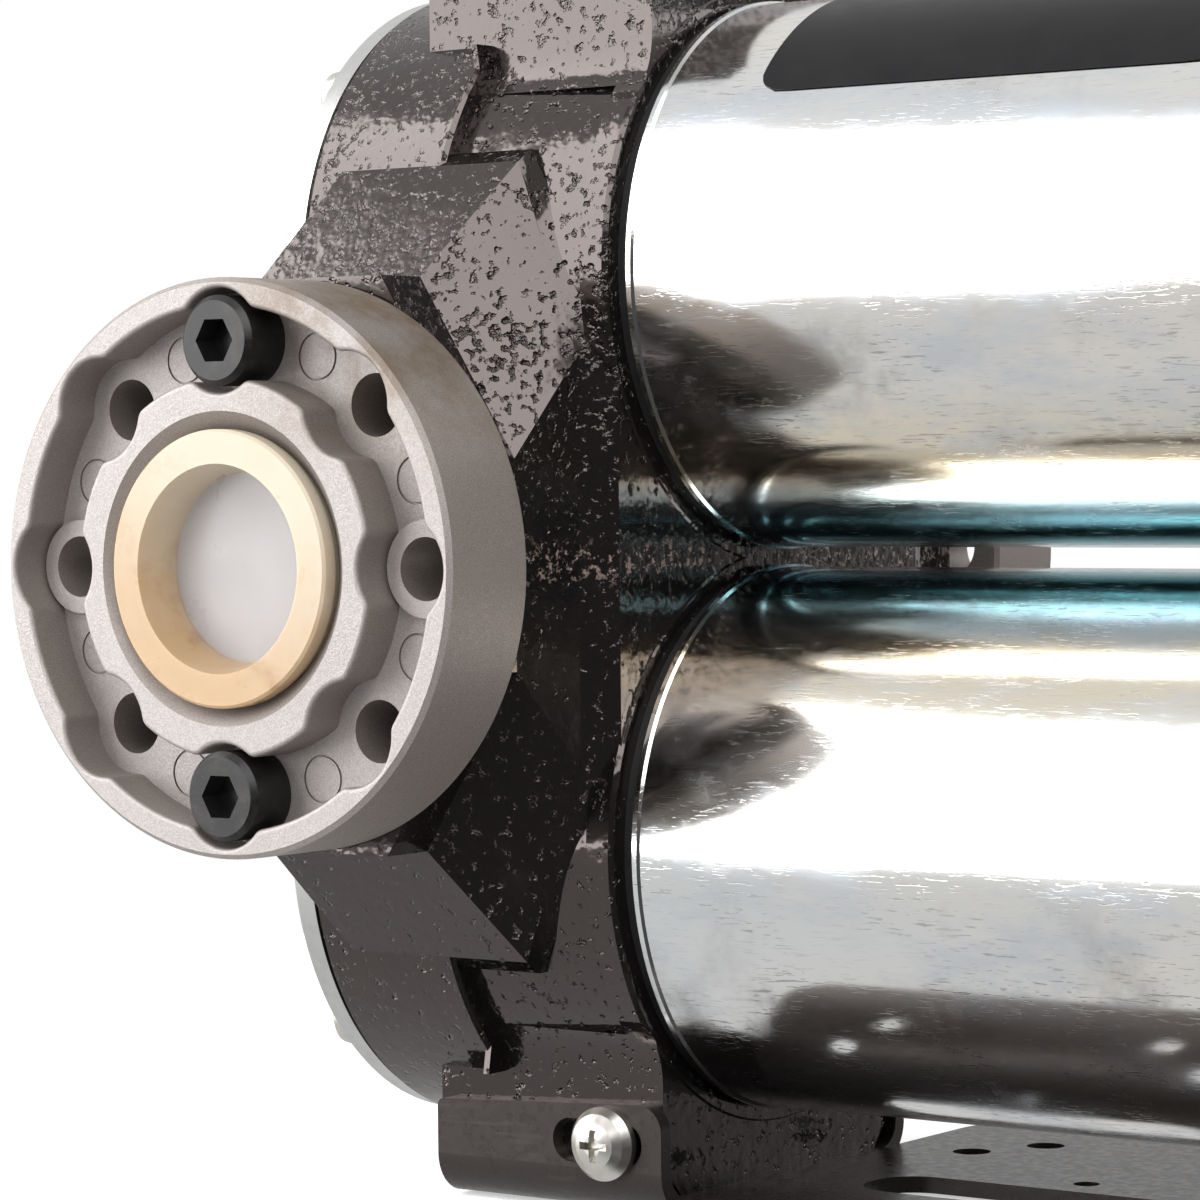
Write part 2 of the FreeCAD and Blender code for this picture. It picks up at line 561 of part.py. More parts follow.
def make_horn(body, name, side):
    """A port horn: a skirt and a root on the body, tapering to an octagon under the flange."""
    front, rear = D.front_x + D.casting_play, D.collar_x - D.casting_play
    skirt = horn_outline(front, D.root_front, D.root_left, D.skirt_top, D.root_right, rear, D.skirt_side)
    root = horn_outline(front, D.root_front, D.root_left, D.root_top, D.root_right,
                        D.root_reach, D.root_side)
    neck = horn_outline(-D.pad_side, D.pad_corner, -D.pad_half, D.pad_top, D.pad_half,
                        D.pad_side, D.pad_corner)
    sketches = []
    for stage, outline, lift in (("Skirt", skirt, D.horn_skirt), ("Root", root, D.horn_root),
                                 ("Neck", neck, D.horn_neck), ("Seat", neck, D.horn_neck)):
        sketch = new_sketch(body, f"{name}{stage}", "XZ_Plane", lift=lift * side)
        add_polygon(sketch, outline)
        sketches.append(sketch)
    for stage, (low, high) in (("Lower", sketches[0:2]), ("Upper", sketches[1:3])):
        loft = body.newObject("PartDesign::AdditiveLoft", f"{name}{stage}Horn")
        loft.Profile = low
        loft.Sections = [high]
        loft.Ruled = True
    base = new_sketch(body, f"{name}Base", "XZ_Plane", lift=D.horn_skirt * side)
    add_polygon(base, skirt)
    extrude(body, "Pad", base, D.skirt_depth, reverse=side > 0)
    extrude(body, "Pad", sketches[3], D.port_face - D.horn_neck, reverse=side < 0)


def cast_hollows(body):
    """The hollow corners between the blocks and the necks."""
    hollow, half = D.block_hollow, D.block_half
    away, across_half = D.neck_front + hollow, half + hollow
    rise = square_root(away * away - across_half * across_half)
    touch = rise * D.neck_front / away
    for name, side in (("Top", 1), ("Bottom", -1)):
        for hand, aside in (("Near", -1), ("Far", 1)):
            fill = new_sketch(body, f"{name}{hand}Corner", "YZ_Plane", lift=D.disc_end - D.overshoot)
            corners = [(half - hollow / 2, touch), (across_half * D.neck_front / away, touch),
                       (half + D.corner_reach, rise), (half - hollow / 2, rise)]
            add_polygon(fill, [(y * aside, (D.axis_gap / 2 + z) * side) for y, z in corners])
            extrude(body, "Pad", fill, D.collar_x - D.casting_play - D.disc_end + D.overshoot)
            round_cut = new_sketch(body, f"{name}{hand}Hollow", "YZ_Plane", lift=D.disc_end)
            add_circle(round_cut, hollow, across_half * aside, (D.axis_gap / 2 + rise) * side)
            extrude(body, "Pocket", round_cut, D.collar_x - D.disc_end, reverse=True)


def cast_outside(body):
    """Chamber discs, tapering necks, square blocks, waist and the two port horns."""
    spigot_end = D.collar_x + D.spigot_length
    spigot = D.tube_inside - D.slide_gap
    for name, side in (("Upper", 0.5), ("Lower", -0.5)):
        profile = ((D.front_x, ZERO), (D.front_x, D.disc_radius - D.edge_break),
                   (D.front_x + D.edge_break, D.disc_radius),
                   (D.disc_end - D.edge_break / 2, D.disc_radius),
                   (D.disc_end, D.disc_radius - D.edge_break / 2),
                   (D.disc_end, D.neck_front), (D.collar_front - D.edge_break, D.neck_rear),
                   (D.collar_front, D.collar_radius), (D.collar_x - D.edge_break / 2, D.collar_radius),
                   (D.collar_x, D.collar_radius - D.edge_break / 2),
                   (D.collar_x, spigot), (spigot_end, spigot), (spigot_end, ZERO))
        turned_x(body, f"{name}Barrel", profile, up=D.axis_gap * side)
    half, top, bevel = D.block_half, D.block_top, D.block_bevel
    root = D.axis_gap / 2 + D.block_root
    for name, side in (("Top", 1), ("Bottom", -1)):
        sketch = new_sketch(body, f"{name}Block", "YZ_Plane", lift=D.block_front)
        add_polygon(sketch, ((-half, root * side), (half, root * side), (half, (top - bevel) * side),
                             (half - bevel, top * side), (bevel - half, top * side),
                             (-half, (top - bevel) * side)))
        extrude(body, "Pad", sketch, D.collar_x - D.casting_play - D.block_front)
    cast_hollows(body)
    waist = new_sketch(body, "Waist", "YZ_Plane", lift=D.front_x)
    reach = D.axis_gap / 2
    add_rectangle(waist, -D.horn_skirt, -reach, D.horn_skirt, reach)
    extrude(body, "Pad", waist, D.collar_x - D.casting_play - D.front_x)
    make_horn(body, "Inlet", 1)
    make_horn(body, "Outlet", -1)


def cast_inside(body):
    """Chambers, shaft pockets, galleries, bypass bore and tapped holes."""
    floor = D.front_x + D.chamber_depth
    seal_end = D.seal_x + D.seal_width
    bearing_end = D.bearing_x + D.bearing_front_width
    spigot_end = D.collar_x + D.spigot_length
    pocket = ((floor - D.overshoot, ZERO), (floor - D.overshoot, D.shaft_front + D.bore_play),
              (D.seal_x, D.shaft_front + D.bore_play),
              (D.seal_x, D.seal_radius), (seal_end, D.seal_radius), (seal_end, D.shaft_front + D.bore_step),
              (D.bearing_x, D.shaft_front + D.bore_step), (D.bearing_x, D.bearing_front),
              (bearing_end, D.bearing_front), (bearing_end, D.cavity_radius),
              (spigot_end + D.overshoot, D.cavity_radius), (spigot_end + D.overshoot, ZERO))
    for name, side in (("Upper", 1), ("Lower", -1)):
        centre = D.axis_gap * (side / 2)
        relief = new_sketch(body, f"{name}CoverRelief", "YZ_Plane", lift=D.front_x)
        add_circle(relief, D.cover_radius + D.cover_relief, ZERO, centre)
        extrude(body, "Pocket", relief, D.pad_side + D.front_x)
        chamber = new_sketch(body, f"{name}Chamber", "YZ_Plane", lift=D.front_x)
        add_circle(chamber, D.chamber_radius, ZERO, centre + D.chamber_shift * side)
        extrude(body, "Pocket", chamber, D.chamber_depth, reverse=True)
        turned_x(body, f"{name}ShaftBore", pocket, kind="Groove", up=centre)
        reach = D.cover_circle * math.sqrt(0.5)
        screws = new_sketch(body, f"{name}CoverHoles", "YZ_Plane", lift=D.front_x)
        for y_side in (-1, 1):
            for z_side in (-1, 1):
                add_circle(screws, D.cover_screw, reach * y_side, centre + reach * z_side)
        extrude(body, "Pocket", screws, D.cover_screw_length - D.cover_thick + D.tap_depth, reverse=True)
        ties = new_sketch(body, f"{name}TieHoles", "YZ_Plane", lift=spigot_end)
        for y_side in (-1, 1):
            add_circle(ties, D.tie_radius, D.tie_circle * y_side, centre)
        extrude(body, "Pocket", ties, spigot_end - D.tie_end + D.tap_depth)
    tap_reach = D.cap_screw_length - D.flange_thick + D.flange_floor
    for name, side in (("Inlet", 1), ("Outlet", -1)):
        back = side < 0
        for stretch, radius, depth in (("Mouth", D.port_mouth, D.port_mouth_depth),
                                       ("Port", D.port_bore, D.port_face - D.gallery_in)):
            port = new_sketch(body, f"{name}{stretch}", "XZ_Plane", lift=D.port_face * side)
            add_circle(port, radius)
            extrude(body, "Pocket", port, depth, reverse=back)
        gallery = new_sketch(body, f"{name}Gallery", "XZ_Plane", lift=D.gallery_out * side)
        add_rectangle(gallery, D.gallery_front, -D.gallery_reach, D.gallery_rear, D.gallery_reach)
        extrude(body, "Pocket", gallery, D.gallery_out - D.gallery_in, reverse=back)
        taps = new_sketch(body, f"{name}Taps", "XZ_Plane", lift=D.port_face * side)
        for z_side in (-1, 1):
            add_circle(taps, D.cap_screw_shank, ZERO, D.bolt_circle * z_side)
        extrude(body, "Pocket", taps, tap_reach + D.tap_depth, reverse=back)
        foot = new_sketch(body, f"{name}FootTap", "XZ_Plane", lift=D.block_half * side)
        add_circle(foot, D.foot_screw, D.foot_screw_x, D.ear_slot_level)
        extrude(body, "Pocket", foot, D.foot_screw_length, reverse=back)
    rim = new_sketch(body, "StrainerSeat", "XZ_Plane", lift=D.port_face)
    add_circle(rim, D.strainer_rim + D.groove_play)
    extrude(body, "Pocket", rim, D.strainer_sheet)
    bypass = new_sketch(body, "BypassBore", "XZ_Plane", lift=D.gallery_in)
    add_circle(bypass, D.bypass_radius)
    extrude(body, "Pocket", bypass, D.gallery_in + D.bypass_seat_y)
    seat = new_sketch(body, "BypassSeat", "XZ_Plane", lift=D.gallery_in)
    add_circle(seat, D.bypass_seat)
    extrude(body, "Pocket", seat, D.gallery_in * 2)


def make_casting():
    body = inlet_side("pump_body")
    cast_outside(body)
    cast_inside(body)
    return body


def flange_spots(body, name, kind, radius, depth, count, lift):
    """A round feature repeated on the flange's bolt circle."""
    sketch = new_sketch(body, name, "XZ_Plane", lift=lift)
    add_circle(sketch, radius, D.bolt_circle, ZERO)
    feature = extrude(body, kind, sketch, depth)
    return around(body, feature, count, "Y_Axis", f"{name}Round")


def make_flange(label, start):
    body = start(label)
    back, face = D.port_face, D.port_face + D.flange_thick
    floor, rim = face - D.flange_floor, D.flange_radius - D.flange_rim
    groove_in = D.ring_radius - D.ring_section / 2 - D.groove_play
    groove_out = D.ring_radius + D.ring_section / 2 + D.groove_play
    groove = back + D.ring_section + D.slide_gap
    edge = D.flange_edge
    turned_y(body, "Section", (
        (back, D.thread_minor), (back, groove_in), (groove, groove_in), (groove, groove_out),
        (back, groove_out), (back, D.flange_radius - edge), (back + edge, D.flange_radius),
        (face - edge, D.flange_radius), (face, D.flange_radius - edge), (face, rim),
        (floor, rim), (floor, D.hub_radius), (face, D.hub_radius), (face, D.mouth_radius),
        (face - D.mouth_depth, D.thread_minor)))
    flange_spots(body, "Scallop", "Pocket", D.scallop, D.flange_floor, FLANGE_HOLES, lift=face)

    def on_pocket_wall(point):
        radius = math.hypot(point.x, point.z)
        on_wall = near(radius, rim.value) or near(radius, D.hub_radius.value)
        return on_wall and -point.y > floor.value - 0.01

    def on_pocket_rim(point):
        radius = math.hypot(point.x, point.z)
        between = D.hub_radius.value - 3 < radius < rim.value + 3
        return between and near(-point.y, face.value)

    dress(body, "Fillet", D.pocket_corner, "PocketCorners", on_pocket_wall)
    dress(body, "Fillet", edge, "PocketEdges", on_pocket_rim)
    flange_spots(body, "SideBoss", "Pad", D.boss_radius, D.boss_height, 2, lift=floor)
    flange_spots(body, "Hole", "Pocket", D.bolt_hole, D.flange_thick, FLANGE_HOLES, lift=face)
    mark = new_sketch(body, "PinMark", "XZ_Plane", lift=floor)
    turn_by = math.pi / FLANGE_HOLES
    for radius in (D.pin_mark, D.pin_mark - D.pin_groove):
        add_circle(mark, radius, D.bolt_circle * math.cos(turn_by), D.bolt_circle * math.sin(turn_by))
    around(body, extrude(body, "Pocket", mark, D.pin_depth), FLANGE_HOLES, "Y_Axis", "PinMarks")
    return body


def make_flange_ring(label, start):
    """An O-ring in the groove behind a flange."""
    body = start(label)
    sketch = new_sketch(body, "Section", "XY_Plane")
    add_circle(sketch, D.ring_section / 2, D.ring_radius, -D.port_face - D.ring_section / 2 - D.ring_gap)
    turn(body, "Revolution", sketch, "V_Axis")
    return body


def make_flange_screws():
    """The socket screws of both flanges, two to each."""
    body = inlet_side("flange_screws")
    under = D.port_face + D.flange_thick - D.flange_floor
    top, end = under + D.cap_screw_height, under - D.cap_screw_length
    shank = D.cap_screw_shank - D.thread_gap
    corner = D.cap_screw_hex / math.sqrt(3)
    features = []
    for name, side in (("High", 1), ("Low", -1)):
        height = D.bolt_circle * side
        features.append(turned_y(body, f"{name}Screw", (
            (end, ZERO), (end, shank - D.chamfer), (end + D.chamfer, shank), (under, shank),
            (under, D.cap_screw_head), (top - D.chamfer, D.cap_screw_head),
            (top, D.cap_screw_head - D.chamfer), (top, ZERO)), lift=height))
        key = new_sketch(body, f"{name}Key", "XZ_Plane", lift=top)
        add_polygon(key, [(corner * math.cos(k * math.pi / 3), height + corner * math.sin(k * math.pi / 3))
                          for k in range(6)])
        features.append(extrude(body, "Pocket", key, D.cap_screw_height / 2))
    across(body, features, "XZ_Plane", "BothFlanges")
    return body


def make_plug(label, start):
    """The shipping plug: a moulded cup with a lip, seated in the mouth of the port."""
    body = start(label)
    outer = D.port_face + D.flange_thick + D.plug_proud
    inner = outer - D.plug_length
    stem = D.thread_minor - D.plug_fit
    wall = D.plug_floor - D.plug_skin
    floor = outer - D.plug_recess
    turned_y(body, "Cup", (
        (floor, ZERO), (floor, D.plug_floor), (outer, D.plug_mouth), (outer, D.plug_lip - D.fine_chamfer),
        (outer - D.fine_chamfer, D.plug_lip), (outer - D.lip_thick, D.plug_lip),
        (outer - D.lip_thick - D.fine_chamfer, stem), (inner + D.chamfer, stem),
        (inner, stem - D.chamfer), (inner, stem - D.plug_wall), (floor - D.plug_skin, wall),
        (floor - D.plug_skin, ZERO)))
    return body


def make_strainer():
    """A perforated basket hanging from a rim that the inlet flange clamps."""
    body = inlet_side("inlet_strainer")
    top = D.port_face
    sheet = D.strainer_sheet
    end = top - D.strainer_length
    turned_y(body, "Basket", (
        (top, D.strainer_rim), (top, D.strainer_radius - sheet), (end + sheet, D.strainer_radius - sheet),
        (end + sheet, ZERO), (end, ZERO), (end, D.strainer_radius),
        (top - sheet, D.strainer_radius), (top - sheet, D.strainer_rim)))
    window = new_sketch(body, "Window", "YZ_Plane")
    for row in range(STRAINER_ROWS):
        bottom = D.strainer_pitch * row - top + D.strainer_pitch / 2
        add_rectangle(window, bottom, -D.strainer_window / 2, bottom + D.strainer_slot,
                      D.strainer_window / 2)
    cut = extrude(body, "Pocket", window, D.strainer_radius + D.overshoot, reverse=True)
    around(body, cut, STRAINER_WINDOWS, "Y_Axis", "Windows")
    return body


def make_poppet():
    """The bypass poppet: a cup closed by a cone that rests on its seat."""
    body = inlet_side("bypass_poppet")
    seat = -D.bypass_seat_y
    end = seat + D.poppet_length
    radius = D.bypass_radius - D.slide_gap
    turned_y(body, "Poppet", (
        (seat - D.poppet_cone, ZERO), (seat - D.poppet_cone, D.bypass_seat - D.poppet_top),
        (seat, D.bypass_seat - D.fine_chamfer), (seat + D.ring_gap, D.bypass_seat - D.fine_chamfer),
        (seat + D.ring_gap, radius), (end, radius), (end, radius - D.poppet_wall),
        (seat + D.poppet_floor, radius - D.poppet_wall), (seat + D.poppet_floor, ZERO)))
    return body


def make_retainer():
    """The ring that holds the bypass spring in its bore."""
    body = inlet_side("bypass_retainer")
    radius = D.bypass_radius - D.thread_gap
    out = D.gallery_in
    turned_y(body, "Ring", (
        (out - D.retainer_thick, D.retainer_bore), (out - D.retainer_thick, radius), (out, radius),
        (out, D.retainer_bore + D.fine_chamfer), (out - D.fine_chamfer, D.retainer_bore)))
    slot = new_sketch(body, "DriverSlot", "XZ_Plane", lift=out)
    add_rectangle(slot, -D.bypass_radius, -D.driver_slot / 2, D.bypass_radius, D.driver_slot / 2)
    extrude(body, "Pocket", slot, D.driver_slot)
    return body


def make_spring():
    """The bypass spring, coiled between its retainer and the poppet."""
    wire, radius = D.spring_wire.value, D.spring_radius.value
    seat_gap = wire + D.thread_gap.value
    start = seat_gap - (D.gallery_in - D.retainer_thick).value
    end = (D.bypass_seat_y - D.poppet_floor).value - seat_gap
    helix = Part.makeHelix((end - start) / SPRING_TURNS, end - start, radius)
    ring = Part.Wire(Part.makeCircle(wire, Vector(radius, 0, 0), Vector(0, 1, 0)))
    spring = doc.addObject("Part::Feature", "bypass_spring")
    spring.Label = "bypass_spring"
    spring.Shape = Part.Wire(helix.Edges).makePipeShell([ring], True, True)
    spring.Placement = Placement(Vector(-D.foot_reach.value, start, D.foot_drop.value),
                                 Rotation(Vector(1, 0, 0), -90))
    bind(spring, ".Placement.Base.x", -D.foot_reach)
    bind(spring, ".Placement.Base.z", D.foot_drop)
    return spring


def make_cover(label, upper):
    """The plate that closes a pump chamber."""
    body = on_shaft(label, upper)
    inner, outer = D.front_x, D.front_x - D.cover_thick
    turned_x(body, "Plate", (
        (inner, ZERO), (outer - D.cover_rise, ZERO), (outer - D.cover_rise, D.cover_step - D.cover_rise),
        (outer, D.cover_step), (outer, D.cover_radius - D.chamfer), (outer + D.chamfer, D.cover_radius),
        (inner, D.cover_radius)))
    groove = new_sketch(body, "RingGroove", "YZ_Plane", lift=inner)
    half = D.cover_section / 2 + D.groove_play
    add_circle(groove, D.cover_ring + half, ZERO, D.chamber_shift)
    add_circle(groove, D.cover_ring - half, ZERO, D.chamber_shift)
    extrude(body, "Pocket", groove, D.cover_section + D.slide_gap)
    hole = new_sketch(body, "ScrewHole", "YZ_Plane", lift=inner)
    reach = D.cover_circle * math.sqrt(0.5)
    add_circle(hole, D.cover_screw + D.screw_play, reach, reach)
    holes = extrude(body, "Pocket", hole, D.cover_thick + D.overshoot)
    around(body, holes, COVER_SCREWS, "X_Axis", "ScrewHoles")
    flat = new_sketch(body, "Flat", "YZ_Plane", lift=inner)
    level = D.cover_part - D.axis_gap / 2
    add_rectangle(flat, -D.cover_radius, -D.cover_radius - D.overshoot, D.cover_radius, level)
    extrude(body, "Pocket", flat, D.cover_thick + D.cover_rise)
    return body


def make_cover_ring(label, upper):
    body = on_shaft(label, upper)
    sketch = new_sketch(body, "Section", "XZ_Plane", up=D.chamber_shift)
    add_circle(sketch, D.cover_section / 2, D.front_x - D.cover_section / 2 - D.ring_gap, D.cover_ring)
    turn(body, "Revolution", sketch, "H_Axis")
    return body


def make_cover_screws():
    """The screws of both covers."""
    body = inlet_side("cover_screws")
    reach = D.cover_circle * math.sqrt(0.5)
    under = D.front_x - D.cover_thick
    shank = D.cover_screw - D.thread_gap
    features = []
    for name, y_side, z_side in (("HighNear", -1, 1), ("HighFar", 1, 1),
                                 ("LowNear", -1, -1), ("LowFar", 1, -1)):
        features.append(turned_x(body, f"{name}Screw", (
            (under - D.cover_screw_height, ZERO), (under - D.cover_screw_height, D.cover_screw_top),
            (under - D.cover_screw_dome, D.cover_screw_head - D.fine_chamfer), (under, D.cover_screw_head),
            (under, shank), (under + D.cover_screw_length, shank), (under + D.cover_screw_length, ZERO)),
            up=D.axis_gap / 2 + reach * z_side, aside=reach * y_side))
    across(body, features, "XY_Plane", "BothCovers")
    return body


def make_rotor(label, upper):
    """The slotted pump rotor."""
    body = on_shaft(label, upper)
    front = D.front_x + D.side_gap
    width = D.chamber_depth - D.side_gap * 2
    disc = new_sketch(body, "Disc", "YZ_Plane", lift=front)
    add_circle(disc, D.rotor_radius)
    add_circle(disc, D.shaft_front)
    extrude(body, "Pad", disc, width)
    slot = new_sketch(body, "Slot", "YZ_Plane", lift=front)
    half = D.vane_thick / 2 + D.vane_gap
    add_rectangle(slot, -half, D.vane_root - D.rotor_gap, half, D.rotor_radius + D.overshoot)
    cut = extrude(body, "Pocket", slot, width, reverse=True)
    around(body, cut, VANES, "X_Axis", "Slots")
    return body


def make_vane(label, upper, place):
    """One sliding vane with a rounded outer edge, pushed fully in."""
    body = on_shaft(label, upper)
    angle = place * 2 * math.pi / VANES
    out_y, out_z = -math.sin(angle), math.cos(angle)
    front = D.front_x + D.side_gap
    sketch = new_sketch(body, "Section", "YZ_Plane", lift=front)
    half = D.vane_thick / 2
    inner, outer, shoulder = D.vane_root, D.vane_rest, D.vane_rest - D.vane_slope
    outline = ((-half, inner), (half, inner), (half, shoulder), (half - D.vane_bevel, outer),
               (D.vane_bevel - half, outer), (-half, shoulder))
    add_polygon(sketch, [(across_by * out_z + out_by * out_y, out_by * out_z - across_by * out_y)
                         for across_by, out_by in outline])
    extrude(body, "Pad", sketch, D.chamber_depth - D.side_gap * 2)
    return body


def make_shaft(label, upper):
    """The motor shaft, which carries the pump rotor on its front end."""
    body = on_shaft(label, upper)
    front = D.front_x + D.shaft_short
    step = D.bearing_x + D.bearing_front_width
    rear_step = D.tube_end + D.bell_wall
    neck = D.tube_end - D.commutator_back - D.shaft_neck
    end = rear_step + D.bearing_rear_width
    turned_x(body, "Shaft", (
        (front, ZERO), (front, D.shaft_front - D.chamfer), (front + D.chamfer, D.shaft_front),
        (step, D.shaft_front), (step, D.shaft_core), (neck, D.shaft_core),
        (neck, D.shaft_front), (rear_step, D.shaft_front),
        (rear_step, D.shaft_rear), (end - D.fine_chamfer, D.shaft_rear),
        (end, D.shaft_rear - D.fine_chamfer), (end, ZERO)))
    return body


def make_shaft_seal(label, upper):
    """Lip seal between pump and motor."""
    body = on_shaft(label, upper)
    front, rear = D.seal_x + D.seal_end_gap, D.seal_x + D.seal_width - D.seal_end_gap
    web = front + D.seal_web
    inner = D.shaft_front + D.seal_lip_gap
    outer = D.seal_radius - D.slide_gap
    turned_x(body, "Seal", (
        (front, inner), (front, inner + D.seal_lip), (web, outer - D.seal_case),
        (front, outer - D.seal_case), (front, outer), (rear, outer), (rear, inner + D.seal_case),
        (web + D.seal_lip, inner + D.seal_lip), (web, inner)))
    return body


def make_bearing(label, upper, front, bore, outer, width):
    """A shielded ball bearing drawn as rings and shields in one piece."""
    body = on_shaft(label, upper)
    wall, dip, edge = D.ring_wall, D.shield_dip, D.fine_chamfer
    outer = outer - D.slide_gap
    bore = bore + D.slide_gap
    rear = front + width
    turned_x(body, "Bearing", (
        (front, bore + edge), (front + edge, bore), (rear - edge, bore), (rear, bore + edge),
        (rear, bore + wall), (rear - dip, bore + wall), (rear - dip, outer - wall),
        (rear, outer - wall), (rear, outer - edge), (rear - edge, outer), (front + edge, outer),
        (front, outer - edge), (front, outer - wall), (front + dip, outer - wall),
        (front + dip, bore + wall), (front, bore + wall)))
    return body


def make_tube(label, upper):
    """A motor tube with a rolled bead at its front end."""
    body = on_shaft(label, upper)
    front, rear = D.motor_x, D.tube_end
    outer, inner, edge = D.motor_radius, D.tube_inside, D.fine_chamfer
    turned_x(body, "Tube", (
        (front, inner), (front, outer), (front + edge, outer + D.motor_bead),
        (front + edge + D.bead_width, outer + D.motor_bead), (front + edge * 2 + D.bead_width, outer),
        (rear - edge, outer), (rear, outer - edge), (rear, inner)))
    return body


def make_tube_gasket(label, upper):
    """The dark ring between casting and tube."""
    body = on_shaft(label, upper)
    inner, outer = D.tube_inside, D.motor_radius - D.gasket_inset
    turned_x(body, "Gasket", ((D.collar_x, inner), (D.motor_x, inner),
                              (D.motor_x, outer), (D.collar_x, outer)))
    return body


def make_magnets(label, upper):
    """The arc magnets lining a motor tube."""
    body = on_shaft(label, upper)
    outer = D.tube_inside - D.slide_gap
    radii = (outer - D.magnet_thick, outer)
    front = D.motor_x + D.magnet_x
    middle, half = math.pi / MAGNETS, math.radians(D.magnet_span.value / 2)
    sketch = new_sketch(body, "Arc", "YZ_Plane", lift=front)
    arcs = []
    for radius in radii:
        circle = Part.Circle(Vector(0, 0, 0), Vector(0, 0, 1), radius.value)
        arcs.append(sketch.addGeometry(Part.ArcOfCircle(circle, middle - half, middle + half)))
    for arc, radius in zip(arcs, radii):
        sketch.addConstraint(Sketcher.Constraint("Coincident", arc, 3, -1, 1))
        constrain(sketch, "Radius", (arc,), radius)
    for point, angle in ((1, middle - half), (2, middle + half)):
        ends = [Vector(r.value * math.cos(angle), r.value * math.sin(angle), 0) for r in radii]
        side = sketch.addGeometry(Part.LineSegment(*ends))
        sketch.addConstraint(Sketcher.Constraint("Coincident", side, 1, arcs[0], point))
        sketch.addConstraint(Sketcher.Constraint("Coincident", side, 2, arcs[1], point))
        sketch.addConstraint(Sketcher.Constraint("PointOnObject", -1, 1, side))
        constrain(sketch, "DistanceY", (-1, 1, side, 2), outer * math.sin(angle))
    magnet = extrude(body, "Pad", sketch, D.tube_end - D.magnet_back - front)
    around(body, magnet, MAGNETS, "X_Axis", "Magnets")
    return body


def make_core(label, upper):
    """The slotted armature core."""
    body = on_shaft(label, upper)
    front = D.motor_x + D.core_x
    length = D.tube_end - D.core_back - front
    disc = new_sketch(body, "Stack", "YZ_Plane", lift=front)
    add_circle(disc, D.core_radius)
    add_circle(disc, D.shaft_core)
    extrude(body, "Pad", disc, length)
    slot = new_sketch(body, "Slot", "YZ_Plane", lift=front)
    half = D.core_slot / 2
    add_rectangle(slot, -half, D.core_radius - D.core_slot_depth, half, D.core_radius + D.overshoot)
    cut = extrude(body, "Pocket", slot, length, reverse=True)
    around(body, cut, SLOTS, "X_Axis", "Slots")
    return body


def make_winding(label, upper):
    """The end turns of the winding, one bundle at each end of the core."""
    body = on_shaft(label, upper)
    core_front, core_end = D.motor_x + D.core_x, D.tube_end - D.core_back
    for name, near_x, far_x in (("FrontTurns", core_front, core_front - D.coil_length),
                                ("RearTurns", core_end, core_end + D.coil_length)):
        step = (far_x - near_x) / 3
        turned_x(body, name, (
            (near_x, D.coil_inner), (near_x, D.coil_radius - D.coil_bulge),
            (near_x + step, D.coil_radius), (near_x + step * 2, D.coil_radius - D.coil_bulge),
            (far_x, D.coil_radius - D.coil_round), (far_x, D.coil_inner + D.coil_bulge),
            (near_x + step * 2, D.coil_inner)))
    return body


def make_commutator(label, upper):
    """The ring of copper bars the brushes run on."""
    body = on_shaft(label, upper)
    front = D.tube_end - D.commutator_back
    ring = new_sketch(body, "Bars", "YZ_Plane", lift=front)
    add_circle(ring, D.commutator_radius)
    add_circle(ring, D.shaft_front)
    extrude(body, "Pad", ring, D.commutator_length)
    slot = new_sketch(body, "Undercut", "YZ_Plane", lift=front)
    add_rectangle(slot, -D.bar_gap / 2, D.commutator_radius - D.bar_gap_depth,
                  D.bar_gap / 2, D.commutator_radius + D.overshoot)
    cut = extrude(body, "Pocket", slot, D.commutator_length, reverse=True)
    around(body, cut, BARS, "X_Axis", "Undercuts")
    return body


def make_brush_plate(label, upper):
    """The moulded plate that carries the brush boxes."""
    body = on_shaft(label, upper)
    front = D.tube_end - D.brush_plate_back
    brush_front = D.tube_end - D.brush_back
    outer = D.tube_inside - D.slide_gap * 2
    disc = new_sketch(body, "Plate", "YZ_Plane", lift=front)
    add_circle(disc, outer)
    add_circle(disc, D.commutator_radius + D.brush_plate_bore)
    for side in (-1, 1):
        add_circle(disc, D.tie_radius + D.tie_gap, D.tie_circle * side, ZERO)
    extrude(body, "Pad", disc, D.brush_plate_thick)
    box = new_sketch(body, "BoxOutside", "YZ_Plane", lift=front)
    wide = D.brush_thick / 2 + D.holder_wall + D.brush_gap
    foot = D.commutator_radius + D.holder_lift
    add_rectangle(box, -wide, foot, wide, foot + D.brush_height)
    holder = extrude(body, "Pad", box, front - brush_front + D.holder_wall + D.brush_gap, reverse=True)
    around(body, holder, BRUSHES, "X_Axis", "Boxes")
    slot = new_sketch(body, "BoxInside", "YZ_Plane", lift=brush_front - D.brush_gap)
    narrow = D.brush_thick / 2 + D.brush_gap
    add_rectangle(slot, -narrow, D.commutator_radius, narrow, foot + D.brush_height + D.overshoot)
    opening = extrude(body, "Pocket", slot, D.brush_width + D.brush_gap * 2, reverse=True)
    around(body, opening, BRUSHES, "X_Axis", "Openings")
    return body


def make_brushes(label, upper):
    """The carbon brushes of one motor, resting on the commutator."""
    body = on_shaft(label, upper)
    sketch = new_sketch(body, "Brush", "YZ_Plane", lift=D.tube_end - D.brush_back)
    half = D.brush_thick / 2
    foot = D.commutator_radius + D.slide_gap
    add_rectangle(sketch, -half, foot, half, foot + D.brush_height)
    brush = extrude(body, "Pad", sketch, D.brush_width)
    around(body, brush, BRUSHES, "X_Axis", "Brushes")
    return body


